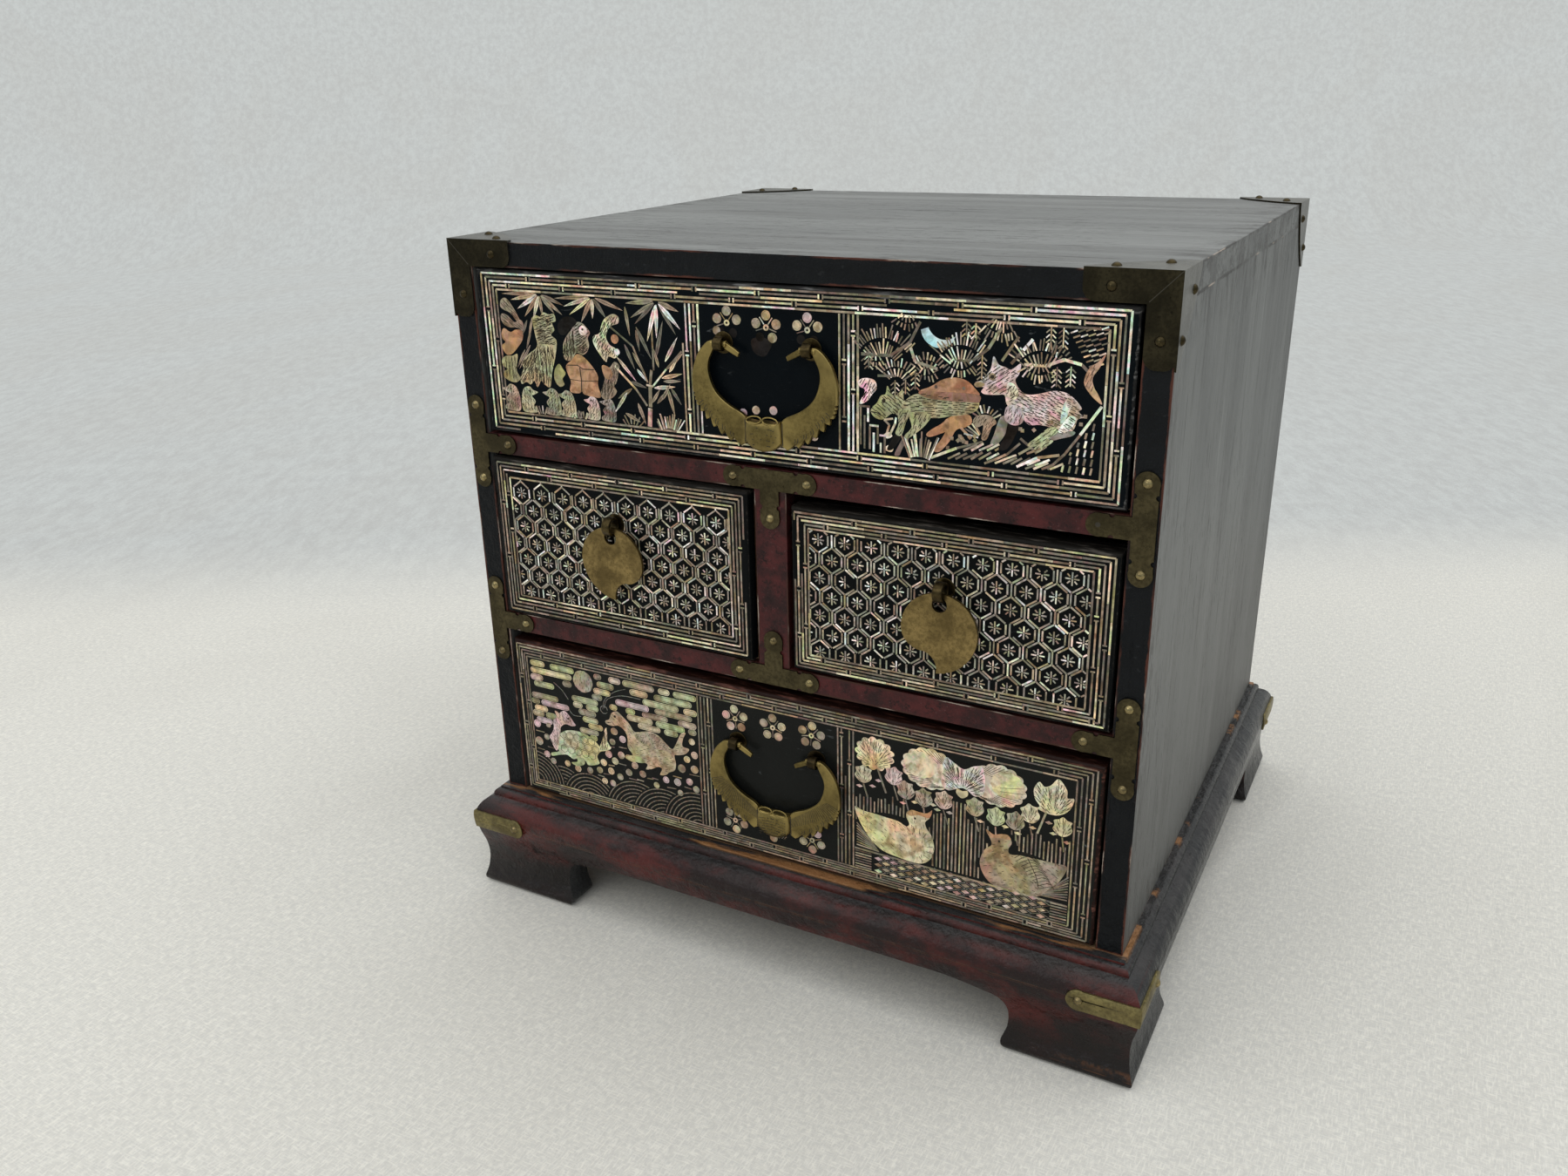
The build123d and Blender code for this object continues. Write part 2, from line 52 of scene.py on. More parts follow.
CREAM = (0.62, 0.50, 0.27)
PALE = (0.74, 0.69, 0.66)
TAN = (0.31, 0.225, 0.135)
DULL = (0.15, 0.108, 0.070)
GREY = (0.26, 0.225, 0.18)
STONE = (0.40, 0.355, 0.29)
OLIVE = (0.36, 0.325, 0.14)
GREEN = (0.42, 0.45, 0.20)
PINK = (0.60, 0.385, 0.39)
BLUE = (0.28, 0.50, 0.56)
ORANGE = (0.50, 0.225, 0.09)
RUST = (0.30, 0.095, 0.035)
LEAF = (0.62, 0.47, 0.32)
MOON = (0.36, 0.64, 0.70)
ORANGE_CREAM = (0.46, 0.31, 0.165)
BROWN = (0.13, 0.085, 0.06)
SMOKE = (0.016, 0.014, 0.013)
ENGRAVED = (0.045, 0.036, 0.024)

# -------------------------------------------------- building materials from nodes


class Nodes:
    """A node tree under construction: each call adds a node and gives its output socket."""

    def __init__(self, tree):
        self.tree = tree

    def node(self, kind, inputs=None, **settings):
        made = self.tree.nodes.new(kind)
        for key, value in settings.items():
            setattr(made, key, value)
        for key, value in (inputs or {}).items():
            self.put(made.inputs[key], value)
        return made

    def put(self, socket, value):
        """Links a socket to an output, or sets its number or colour."""
        if isinstance(value, bpy.types.NodeSocket):
            self.tree.links.new(value, socket)
        elif isinstance(value, tuple) and len(value) == 3 and socket.type == "RGBA":
            socket.default_value = (*value, 1)
        else:
            socket.default_value = value

    def end(self, name, output):
        """Links an output to the surface of the tree's last node."""
        self.put(self.tree.nodes[name].inputs["Surface"], output)

    def steps(self, fac, *stops):
        """A colour ramp with (position, colour) stops."""
        ramp = self.node("ShaderNodeValToRGB", {"Fac": fac})
        while len(ramp.color_ramp.elements) < len(stops):
            ramp.color_ramp.elements.new(0.5)
        for element, (position, colour) in zip(ramp.color_ramp.elements, stops):
            element.position = position
            element.color = (*colour, 1)
        return ramp.outputs["Color"]

    def mix(self, fac, a, b, blend="MIX"):
        made = self.node("ShaderNodeMix", data_type="RGBA", blend_type=blend)
        for key, value in ((0, fac), (6, a), (7, b)):
            self.put(made.inputs[key], value)
        return made.outputs[2]

    def maths(self, operation, a, b=0.0, clamp=False):
        return self.node("ShaderNodeMath", {0: a, 1: b}, operation=operation, use_clamp=clamp).outputs[0]

    def plus(self, a, b):
        return self.maths("ADD", a, b)

    def minus(self, a, b):
        return self.maths("SUBTRACT", a, b)

    def times(self, a, b):
        return self.maths("MULTIPLY", a, b)

    def over(self, colour, mask, share, other):
        """colour with a share of another colour laid over it where the mask is 1."""
        return self.mix(self.times(mask, share), colour, other)

    def between(self, value, low, high):
        """0 at low, 1 at high, and clamped."""
        inputs = {"Value": value, "From Min": low, "From Max": high}
        return self.node("ShaderNodeMapRange", inputs, interpolation_type="SMOOTHSTEP").outputs[0]

    def part(self, vector, axis):
        return self.node("ShaderNodeSeparateXYZ", {"Vector": vector}).outputs[axis]


class Material(Nodes):
    """A material under construction around its Principled shader."""

    def __init__(self, name):
        self.material = bpy.data.materials.new(name)
        self.material.use_nodes = True
        super().__init__(self.material.node_tree)
        self.shader = self.tree.nodes["Principled BSDF"]
        self.place = self.node("ShaderNodeTexCoord").outputs["Object"]
        self.facing = self.node("ShaderNodeTexCoord").outputs["Normal"]

    def set(self, **inputs):
        for key, value in inputs.items():
            self.put(self.shader.inputs[key.replace("_", " ")], value)
        return self.material

    def noise(self, scale, detail=3.0, rough=0.55, stretch=(1, 1, 1), where=None, warp=0.0):
        """Noise with scale features to the metre, stretched by dividing its frequency on each axis."""
        size = tuple(scale / s for s in stretch)
        place = self.node("ShaderNodeMapping", {"Vector": where or self.place, "Scale": size})
        inputs = {"Vector": place.outputs[0], "Scale": 1.0, "Detail": detail, "Roughness": rough}
        return self.node("ShaderNodeTexNoise", {**inputs, "Distortion": warp}).outputs["Fac"]

    def cells(self, scale):
        """Distance to the nearest of points scattered scale to the metre."""
        place = self.node("ShaderNodeMapping", {"Vector": self.place, "Scale": (scale,) * 3})
        inputs = {"Vector": place.outputs[0], "Scale": 1.0}
        return self.node("ShaderNodeTexVoronoi", inputs).outputs["Distance"]

    def bump(self, *layers):
        """Bump from (height, distance in metres, strength) layers, one over the other."""
        normal = None
        for height, distance, strength in layers:
            inputs = {"Height": height, "Distance": distance, "Strength": strength}
            if normal is not None:
                inputs["Normal"] = normal
            normal = self.node("ShaderNodeBump", inputs).outputs[0]
        self.set(Normal=normal)

    def edge_distance(self, low, high):
        """Distance in metres from the nearest edge of the box between two corners."""
        gaps = []
        for axis, (a, b) in enumerate(zip(low, high)):
            offset = self.minus(self.part(self.place, axis), (a + b) / 2)
            gaps.append(self.minus((b - a) / 2, self.maths("ABSOLUTE", offset)))
        x, y, z = gaps
        pairs = [self.maths("MAXIMUM", x, y), self.maths("MAXIMUM", y, z), self.maths("MAXIMUM", x, z)]
        return self.maths("MINIMUM", self.maths("MINIMUM", pairs[0], pairs[1]), pairs[2])

    def arrises(self, low, high):
        """1 on edges that stand proud, from how pointed the mesh is there."""
        return self.between(self.node("ShaderNodeNewGeometry").outputs["Pointiness"], low, high)


def drawn_out(grain, length):
    """A stretch for noise: length times as long along the grain's axis as across it."""
    return tuple(length if axis == grain else 1 for axis in range(3))


def darker(colour, share):
    return tuple(c * share for c in colour)


def added(name, data):
    """A new object in the scene."""
    made = bpy.data.objects.new(name, data)
    bpy.context.collection.objects.link(made)
    return made


# -------------------------------------------------- camera, light and stage

CAMERA_PLACE = Vector((0.2687, -0.62935, 0.4152))
CAMERA_RIGHT = Vector((0.87993, 0.47464, -0.02112))
CAMERA_DOWN = Vector((0.15503, -0.32886, -0.93157))
CAMERA_FORWARD = Vector((-0.44911, 0.81644, -0.36295))
CAMERA_LENS = 29.71
SENSOR_WIDTH = 36
CLIP_START = 0.01
# name, place, target, size, power and colour
LAMPS = (("top_softbox", (0.25, 0.5, 2.4), (0, 0, 0.2), 2.8, 17.2, (1.0, 1.0, 1.0)),
         ("front_softbox", (-0.7, -2.0, 1.7), (0, 0, 0.15), 1.0, 6, (1.0, 0.97, 0.92)))
SKY_LOW = (0.31, 0.365, 0.40)
SKY_HIGH = (1.08, 1.10, 1.12)
PAST_BACKDROP = (0.57, 0.60, 0.59)
NEAR_CLOTH = (0.80, 0.775, 0.70)
FAR_CLOTH = (0.625, 0.66, 0.65)
FLOOR_REACH = 6.0
SWEEP_START = 1.13
SWEEP_SOFT = 0.10
WALL_DISTANCE = 3.4
WALL_HEIGHT = 3.0
SWEEP_RADIUS = 0.5
SWEEP_STEPS = 12


def make_camera():
    data = bpy.data.cameras.new("camera")
    data.lens = CAMERA_LENS
    data.sensor_width = SENSOR_WIDTH
    data.clip_start = CLIP_START
    camera = added("camera", data)
    turn = Matrix((CAMERA_RIGHT, -CAMERA_DOWN, -CAMERA_FORWARD)).transposed().to_4x4()
    camera.matrix_world = Matrix.Translation(CAMERA_PLACE) @ turn
    bpy.context.scene.camera = camera


def make_lights():
    """One large softbox above and one small one in front, in a soft sky that is brightest overhead."""
    for name, place, target, size, power, colour in LAMPS:
        data = bpy.data.lights.new(name, "AREA")
        data.size = size
        data.energy = power
        data.color = colour
        lamp = added(name, data)
        lamp.location = place
        lamp.rotation_euler = (Vector(target) - Vector(place)).to_track_quat("-Z", "Y").to_euler()
    world = bpy.data.worlds.new("studio")
    world.use_nodes = True
    w = Nodes(world.node_tree)
    height = w.part(w.node("ShaderNodeTexCoord").outputs["Generated"], 2)
    sky = w.tree.nodes["Background"]
    w.put(sky.inputs["Color"], w.steps(height, (0.0, SKY_LOW), (0.9, SKY_HIGH)))
    # past the edge of the backdrop a camera sees the plain colour of its wall
    plain = w.node("ShaderNodeBackground", {"Color": PAST_BACKDROP})
    seen = w.node("ShaderNodeLightPath").outputs["Is Camera Ray"]
    blend = {0: seen, 1: sky.outputs[0], 2: plain.outputs[0]}
    w.end("World Output", w.node("ShaderNodeMixShader", blend).outputs[0])
    bpy.context.scene.world = world


def make_stage():
    """A floor that sweeps up into a wall behind the chest, as the main camera sees it."""
    ahead = Vector((CAMERA_FORWARD.x, CAMERA_FORWARD.y, 0)).normalized()
    across = Vector((ahead.y, -ahead.x, 0))
    ground = Vector((CAMERA_PLACE.x, CAMERA_PLACE.y, 0))
    profile = [(-FLOOR_REACH, 0.0)]
    for k in range(SWEEP_STEPS + 1):
        angle = math.pi / 2 * k / SWEEP_STEPS
        rise = SWEEP_RADIUS * (1 - math.cos(angle))
        profile.append((WALL_DISTANCE + SWEEP_RADIUS * math.sin(angle), rise))
    profile.append((WALL_DISTANCE + SWEEP_RADIUS, WALL_HEIGHT))
    verts = []
    for distance, height in profile:
        for side in (-1, 1):
            verts.append(ground + ahead * distance + across * side * FLOOR_REACH + Vector((0, 0, height)))
    faces = [(2 * k, 2 * k + 1, 2 * k + 3, 2 * k + 2) for k in range(len(profile) - 1)]
    mesh = bpy.data.meshes.new("backdrop")
    mesh.from_pydata(verts, [], faces)
    mesh.polygons.foreach_set("use_smooth", [True] * len(faces))
    stage = added("backdrop", mesh)
    m = Material("backdrop_cloth")
    x, y = m.part(m.place, 0), m.part(m.place, 1)
    along = m.plus(m.times(x, ahead.x), m.times(y, ahead.y))
    beyond = m.minus(along, (ground + ahead * SWEEP_START).dot(ahead))
    far = m.between(m.plus(beyond, m.times(m.noise(3, 2), 0.05)), -SWEEP_SOFT, SWEEP_SOFT * 1.5)
    colour = m.mix(far, NEAR_CLOTH, FAR_CLOTH)
    # the weave is finer near the camera than on the far wall, where it is drawn out along the view
    near_weave = m.noise(430, 3, 0.7, (1, 1.6, 1))
    flat = m.plus(m.times(x, across.x), m.times(y, across.y))
    view = {"X": flat, "Y": m.times(along, 0.35), "Z": m.part(m.place, 2)}
    far_weave = m.noise(70, 4, 0.78, where=m.node("ShaderNodeCombineXYZ", view).outputs[0])
    weave = m.mix(far, near_weave, far_weave)
    folds = m.noise(3.2, 3, 0.55, (1, 2.4, 1), warp=1.2)
    threads = m.maths("MAXIMUM", m.noise(1300, 2, 0.5, (1, 7, 1)), m.noise(1300, 2, 0.5, (7, 1, 1)))
    depth = m.plus(0.25, m.times(far, 0.11))
    colour = m.over(colour, m.between(weave, 0.34, 0.66), depth, (0.42, 0.42, 0.42))
    colour = m.over(colour, m.between(folds, 0.42, 0.62), 0.10, (0.50, 0.47, 0.42))
    colour = m.over(colour, m.between(threads, 0.66, 0.48), 0.26, (0.38, 0.37, 0.35))
    m.bump((weave, 0.0008, 0.35), (folds, 0.035, 0.5))
    m.set(Base_Color=colour, Roughness=0.9, Specular_IOR_Level=0.15)
    # what the camera and the brass see far off is the plain colour of the cloth
    rays = m.node("ShaderNodeLightPath").outputs
    seen = m.maths("MAXIMUM", rays["Is Camera Ray"], rays["Is Glossy Ray"])
    plain = m.node("ShaderNodeEmission", {"Color": colour, "Strength": 1.0}).outputs[0]
    blend = {0: m.times(seen, far), 1: m.shader.outputs[0], 2: plain}
    m.end("Material Output", m.node("ShaderNodeMixShader", blend).outputs[0])
    mesh.materials.append(m.material)


# -------------------------------------------------- lacquer and wood

PALE_CHIP = (0.42, 0.34, 0.28)
GROUND_WOOD = (0.42, 0.22, 0.09)
RUB_WIDTH = 0.0009
BOARD_GLOSS = 0.32


def worn(m, colour, low, high, undercoat):
    """colour with the edges of a box rubbed through to the undercoat, and a few pale chips on them."""
    edge = m.edge_distance(low, high)
    ragged = m.times(m.noise(160, 4, 0.65), RUB_WIDTH * 2)
    wear_and_highlight = m.between(m.minus(edge, ragged), RUB_WIDTH * 0.1, -RUB_WIDTH * 0.5)
    wear_and_highlight = m.times(wear_and_highlight, m.between(m.noise(28, 3, 0.6), 0.40, 0.58))
    chipped = m.between(m.minus(edge, m.times(m.noise(330, 3, 0.7), RUB_WIDTH)), 0, -0.0002)
    picked = m.times(chipped, m.between(m.noise(45, 2), 0.55, 0.68))
    return m.mix(picked, m.mix(wear_and_highlight, colour, undercoat), PALE_CHIP)


def open_grain_lacquer(name, node, grain, front_black=True):
    """Matte black-brown lacquer over open-grain wood, with the grain along one axis."""
    m = Material(name)
    low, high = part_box(node)
    upright = grain == 2
    long = drawn_out(grain, 26)
    pores = m.noise(420, 4, 0.7, drawn_out(grain, 14))
    streaks = m.noise(110, 3, 0.5, long)
    broad = m.noise(14, 3, 0.5, drawn_out(grain, 5), warp=0.4)
    colour = m.mix(m.between(broad, 0.36, 0.64), (0.098, 0.100, 0.095), (0.152, 0.155, 0.147))
    colour = m.over(colour, m.between(streaks, 0.40, 0.70), 0.45, (0.22, 0.222, 0.212))
    bands = m.between(m.noise(38, 3, 0.6, long, warp=0.2), 0.48, 0.62)
    colour = m.over(colour, bands, 0.26 if upright else 0.55, (0.060, 0.058, 0.054))
    # painted sheen: faces that look up are lightened in streaks, standing in for the backdrop's reflection on
    # the top
    painted_top_sheen = m.mix(streaks, (0.19, 0.195, 0.185), (0.36, 0.365, 0.35))
    colour = m.over(colour, m.between(m.part(m.facing, 2), 0.6, 0.9), 0.28, painted_top_sheen)
    pits = m.between(m.noise(1100, 2, 0.6, drawn_out(grain, 9)), 0.62, 0.70)
    dense = m.between(m.noise(16, 3), 0.40, 0.62)
    cut = m.times(m.maths("MAXIMUM", m.between(pores, 0.60, 0.68), pits), m.plus(0.35, dense))
    colour = m.over(colour, cut, 0.75, (0.030, 0.028, 0.025))
    # sparse long scratches, dark and pale, and scuffed patches near the edges
    scratched = m.noise(330, 2, 0.5, drawn_out(grain, 24), warp=0.15)
    colour = m.over(colour, m.between(scratched, 0.64, 0.69), 0.62, (0.028, 0.026, 0.024))
    colour = m.over(colour, m.between(scratched, 0.345, 0.31), 0.30, (0.30, 0.30, 0.285))
    to_edge = m.plus(m.edge_distance(low, high), m.times(m.noise(40, 4, 0.7), 0.03))
    dabs = m.noise(170, 5, 0.75, drawn_out(grain, 4))
    scuffed = m.times(m.between(to_edge, 0.042, 0.014), m.between(dabs, 0.50, 0.57))
    colour = m.over(colour, scuffed, 0.72, (0.045, 0.042, 0.038))
    if upright:
        # painted shade: the side boards darken towards the bottom, where their sheen fades
        painted_low_shade = m.between(m.part(m.place, 2), 0.25, 0.08)
        colour = m.over(colour, painted_low_shade, 0.38, (0.035, 0.030, 0.024))
    rough = m.plus(0.36, m.times(streaks, 0.25))
    gloss = BOARD_GLOSS
    lumps = m.noise(150, 4, 0.65)
    if front_black:
        to_front = m.between(m.part(m.facing, 1), -0.6, -0.8)
        black = m.mix(m.noise(60, 4), (0.0030, 0.0034, 0.0040), (0.0100, 0.0112, 0.0125))
        grit = m.between(m.noise(420, 3, 0.7, (2, 1, 1)), 0.64, 0.74)
        colour = m.mix(to_front, colour, m.over(black, grit, 0.5, (0.030, 0.032, 0.034)))
        gloss = m.minus(BOARD_GLOSS, m.times(to_front, 0.20))
        lumps = m.times(lumps, m.plus(0.08, to_front))
    near_front = m.between(m.part(m.place, 1), low[1] + 0.004, low[1] + 0.001)
    undercoat = m.mix(near_front, (0.040, 0.036, 0.032), (0.085, 0.030, 0.020))
    colour = worn(m, colour, low, high, undercoat)
    heights = m.minus(m.times(streaks, 0.4), cut)
    m.bump((heights, 0.0003, 0.7), (m.noise(9, 2), 0.0022, 0.5), (lumps, 0.0022, 0.8),
           (m.noise(500, 3), 0.0002, 0.3))
    return m.set(Base_Color=colour, Roughness=rough, Specular_IOR_Level=gloss)


def black_lacquer(name, node, darkest, lightest, gloss, edge_dust, dust_reach):
    """The glossy blue-black ground of a drawer front, with rubbed, dusty edges and fine scratches."""
    m = Material(name)
    low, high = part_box(node)
    cloudy = m.noise(35, 4)
    smears = m.between(m.noise(260, 3, 0.6, (3.2, 1, 1), warp=0.9), 0.66, 0.76)
    patches = m.between(m.noise(22, 2), 0.45, 0.62)
    specks = m.between(m.cells(420), 0.09, 0.03)
    marks = m.maths("MAXIMUM", m.times(m.times(smears, patches), 0.55), m.times(specks, 0.12))
    colour = m.mix(marks, m.mix(cloudy, darkest, lightest), (0.13, 0.14, 0.145))
    below = m.minus(high[2], m.part(m.place, 2))
    sideways = m.times(m.edge_distance(low, high), 2.5)
    ragged = m.times(m.noise(200, 4, 0.7, (4, 1, 1)), dust_reach)
    dusty = m.between(m.minus(m.maths("MINIMUM", below, sideways), ragged), 0.0002, -0.0008)
    glitter = m.between(m.noise(330, 3, 0.7, (7, 1, 1)), 0.50, 0.72)
    colour = m.mix(dusty, colour, m.mix(glitter, darker(edge_dust, 0.12), edge_dust))
    inside = m.between(m.part(m.facing, 1), 0.2, 0.6)
    colour = m.mix(inside, colour, (0.10, 0.065, 0.04))
    rough = m.plus(0.20, m.times(cloudy, 0.25))
    m.bump((m.noise(60, 3), 0.0016, 0.7), (m.noise(260, 4, 0.65), 0.0004, 0.6),
           (m.noise(600, 3), 0.0001, 0.3))
    return m.set(Base_Color=colour, Roughness=rough, Specular_IOR_Level=gloss)


def red_lacquer(name, node):
    m = Material(name)
    colour = m.mix(m.between(m.noise(80, 5, 0.7), 0.35, 0.68), (0.026, 0.009, 0.0092), (0.088, 0.017, 0.017))
    colour = m.mix(m.between(m.noise(300, 4, 0.7), 0.52, 0.70), colour, (0.014, 0.006, 0.006))
    colour = m.over(colour, m.between(m.noise(900, 2, 0.7), 0.64, 0.72), 0.6, (0.11, 0.05, 0.05))
    colour = worn(m, colour, *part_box(node), (0.05, 0.018, 0.012))
    m.bump((m.noise(90, 3), 0.0016, 0.6), (m.noise(330, 4), 0.0005, 0.6))
    return m.set(Base_Color=colour, Roughness=0.40, Specular_IOR_Level=0.2)


def stand_lacquer():
    """Dark red at the front and near black at the sides, black again towards the soles."""
    m = Material("stand_lacquer")
    height = m.part(m.place, 2)
    fronts = m.between(m.part(m.facing, 1), -0.25, -0.6)
    clouds = m.noise(30, 5, 0.65, (2.0, 1, 1))
    red = m.mix(m.between(clouds, 0.42, 0.62), (0.016, 0.0085, 0.008), (0.082, 0.0145, 0.0120))
    patches = m.between(m.noise(120, 5, 0.75, (1.6, 1, 1)), 0.48, 0.66)
    red = m.over(red, patches, 0.75, (0.015, 0.010, 0.0095))
    low_black = m.between(m.plus(height, m.times(clouds, 0.05)), 0.058, 0.036)
    red = m.over(red, low_black, 0.9, (0.011, 0.009, 0.008))
    black = m.mix(m.noise(18, 4, 0.6, (1, 4, 1)), (0.010, 0.010, 0.010), (0.040, 0.041, 0.041))
    on_top = m.between(m.part(m.facing, 2), 0.3, 0.8)
    dusty = m.times(on_top, m.between(m.noise(60, 4, 0.6, (4, 4, 1)), 0.35, 0.75))
    colour = m.over(m.mix(fronts, black, red), dusty, 0.18, (0.16, 0.13, 0.12))
    # bare wood in long streaks on the ledge under the case
    bare = m.times(m.between(height, 0.0568, 0.0573), m.between(m.noise(24, 4, 0.6, (3, 0.6, 1)), 0.50, 0.55))
    colour = m.mix(bare, colour, m.mix(m.noise(200, 3, 0.6, (10, 1, 1)), GROUND_WOOD, (0.16, 0.06, 0.025)))
    scuffs = m.between(m.noise(150, 4, 0.75, (3, 3, 1)), 0.68, 0.78)
    colour = m.over(colour, scuffs, 0.3, (0.13, 0.10, 0.09))
    arris = m.times(m.times(m.arrises(0.57, 0.63), fronts), m.between(m.noise(110, 4, 0.7), 0.42, 0.58))
    colour = m.over(colour, arris, 0.8, m.mix(m.noise(70, 3), (0.20, 0.085, 0.035), (0.05, 0.02, 0.012)))
    rough = m.plus(0.13, m.times(m.noise(90, 3), 0.25))
    m.bump((m.noise(40, 3, 0.6), 0.0036, 0.8), (m.noise(150, 4, 0.65), 0.0019, 0.9),
           (m.noise(420, 4, 0.7), 0.0006, 0.7))
    return m.set(Base_Color=colour, Roughness=rough, Specular_IOR_Level=0.25)


def bare_wood(name, grain):
    m = Material(name)
    lines = m.noise(160, 4, 0.6, drawn_out(grain, 18), warp=0.3)
    colour = m.steps(lines, (0.35, (0.30, 0.185, 0.10)), (0.6, (0.19, 0.105, 0.055)))
    colour = m.over(colour, m.noise(12, 3), 0.5, (0.09, 0.05, 0.03))
    m.bump((lines, 0.0003, 0.4))
    return m.set(Base_Color=colour, Roughness=0.62, Specular_IOR_Level=0.3)


# -------------------------------------------------- brass


def brass(name, bright, dark, rough, pits=0.3, wear_and_highlight=None, dull_above=None, outer=None):
    """Aged brass: brushed, clouded with brown patina, pitted and specked.

    wear_and_highlight brightens the arrises as a painted highlight, dull_above darkens whatever is higher,
    and outer is the colour of the faces that don't look forward, a grey coat lightened as painted sheen.
    """
    m = Material(name)
    clouds = m.noise(75, 5, 0.6)
    mottle = m.noise(650, 4, 0.7)
    brushed = m.noise(1500, 3, 0.6, (6, 1, 1))
    spots = m.between(m.noise(520, 3, 0.7), 0.68 - pits * 0.12, 0.76)
    colour = m.mix(m.between(clouds, 0.34, 0.68), bright, dark)
    colour = m.over(colour, m.between(mottle, 0.42, 0.62), 0.55, darker(dark, 0.75))
    colour = m.over(colour, spots, 0.75, darker(dark, 0.25))
    if wear_and_highlight:
        # painted highlight: the arrises are lightened as if they caught the light
        arris = m.times(m.arrises(0.515, 0.57), m.between(m.noise(60, 3), 0.35, 0.55))
        colour = m.over(colour, arris, 0.8, darker(bright, wear_and_highlight))
    if outer:
        # painted sheen: faces that don't look forward get a pale grey, their grey coat lightened like the top
        # board's sheen
        forward = m.between(m.part(m.facing, 1), -0.3, -0.6)
        colour = m.mix(forward, m.mix(m.between(clouds, 0.35, 0.65), outer, darker(outer, 0.7)), colour)
    if dull_above:
        high = m.between(m.part(m.place, 2), dull_above, dull_above + 0.002)
        colour = m.over(colour, high, 0.93, darker(dark, 0.25))
    m.bump((m.noise(38, 2), 0.0020, 0.6), (mottle, 0.00012, 0.4), (brushed, 0.00004, 0.5),
           (spots, 0.0001, -0.5))
    return m.set(Base_Color=colour, Metallic=1.0, Roughness=m.plus(rough, m.times(mottle, 0.25)))


# -------------------------------------------------- dress the CAD nodes

WELD_DISTANCE = 1e-6
SHARP_ANGLE = math.radians(35)


def dress(node, material, rounding=0.0, segments=2):
    """Gives a node its material, and rounds its sharp edges, in metres, so that they catch the light."""
    piece = nodes[node]
    piece.data.materials.clear()
    piece.data.materials.append(material)
    if rounding:
        piece.modifiers.new("weld", "WELD").merge_threshold = WELD_DISTANCE
        bevel = piece.modifiers.new("round", "BEVEL")
        bevel.width = rounding
        bevel.segments = segments
        bevel.limit_method = "ANGLE"
        bevel.angle_limit = SHARP_ANGLE
        bevel.harden_normals = True


def filled_lines():
    m = Material("filled_line")
    colour = m.mix(m.noise(900, 2), (0.012, 0.010, 0.006), (0.045, 0.036, 0.018))
    return m.set(Base_Color=colour, Roughness=0.7)


dark_brass = brass("dark_brass", (0.095, 0.078, 0.040), (0.045, 0.037, 0.020), 0.27)
# the corner brackets' top and side arms: a grey coat lightened with painted sheen
corner_brass = brass("corner_brass", (0.045, 0.038, 0.022), (0.022, 0.019, 0.012), 0.24,
                     outer=(0.17, 0.162, 0.14))
cotter_brass = brass("cotter_brass", (0.10, 0.073, 0.030), (0.03, 0.022, 0.011), 0.24)
# the bails' brass, its arrises lit by a painted highlight
aged_brass = brass("aged_brass", (0.225, 0.170, 0.060), (0.125, 0.094, 0.034), 0.28, wear_and_highlight=1.7)
pull_brass = brass("pull_brass", (0.30, 0.215, 0.085), (0.13, 0.092, 0.036), 0.26, pits=0.5)
strap_brass = brass("strap_brass", (0.30, 0.25, 0.105), (0.13, 0.105, 0.05), 0.32, pits=0.6)
nail_brass = brass("nail_brass", (0.40, 0.32, 0.15), (0.13, 0.10, 0.05), 0.16, dull_above=0.305)
filled_line = filled_lines()

# each drawer front's darkest and lightest lacquer, its gloss, and the dust or worn lacquer on its edges
HALF_WIDTH_GROUND = ((0.0015, 0.0020, 0.0022), (0.0055, 0.0065, 0.0068), 0.05, (0.10, 0.088, 0.075), 0.0035)
DRAWER_GROUND = {
    "top": ((0.0010, 0.0020, 0.0030), (0.0040, 0.0066, 0.0088), 0.045, (0.17, 0.165, 0.16), 0.0055),
    "left": HALF_WIDTH_GROUND,
    "right": HALF_WIDTH_GROUND,
    "bottom": ((0.0060, 0.0065, 0.0058), (0.0125, 0.0130, 0.0115), 0.09, (0.14, 0.055, 0.040), 0.0070),
}


def dress_all():
    stand = stand_lacquer()
    plain = {axis: bare_wood(f"bare_wood_{'xyz'[axis]}", axis) for axis in range(3)}
    for name in nodes:
        if name == "top_board":
            dress(name, open_grain_lacquer("top_lacquer", name, 0), rounding=0.0007)
        elif name in ("left_side", "right_side"):
            dress(name, open_grain_lacquer(f"{name}_lacquer", name, 2), rounding=0.0006)
        elif name == "back_panel":
            dress(name, open_grain_lacquer("back_lacquer", name, 0, front_black=False))
        elif name in ("upper_rail", "lower_rail", "centre_post"):
            dress(name, red_lacquer(f"{name}_red", name), rounding=0.0004)
        elif name.endswith("_drawer_front"):
            dress(name, black_lacquer(f"{name}_black", name, *DRAWER_GROUND[name.split("_")[0]]))
        elif name.startswith("base_") and name != "base_blocks":
            dress(name, stand, rounding=0.0008)
        elif name.startswith("corner_bracket"):
            dress(name, corner_brass, rounding=0.00028)
        elif name.startswith("tee_bracket"):
            dress(name, dark_brass, rounding=0.00028)
        elif name.startswith("foot_strap"):
            dress(name, strap_brass, rounding=0.00025)
        elif name == "bracket_nails":
            dress(name, nail_brass)
        elif name.endswith(("cotter", "cotters")):
            dress(name, cotter_brass, rounding=0.0009, segments=4)
        elif name.endswith("pull_plate"):
            dress(name, pull_brass, rounding=0.00035)
        elif name.endswith("_bail"):
            dress(name, aged_brass)
        elif name.endswith(("left_side", "right_side", "partition")):
            dress(name, plain[1])
        else:
            dress(name, plain[0])


# -------------------------------------------------- mother-of-pearl inlay

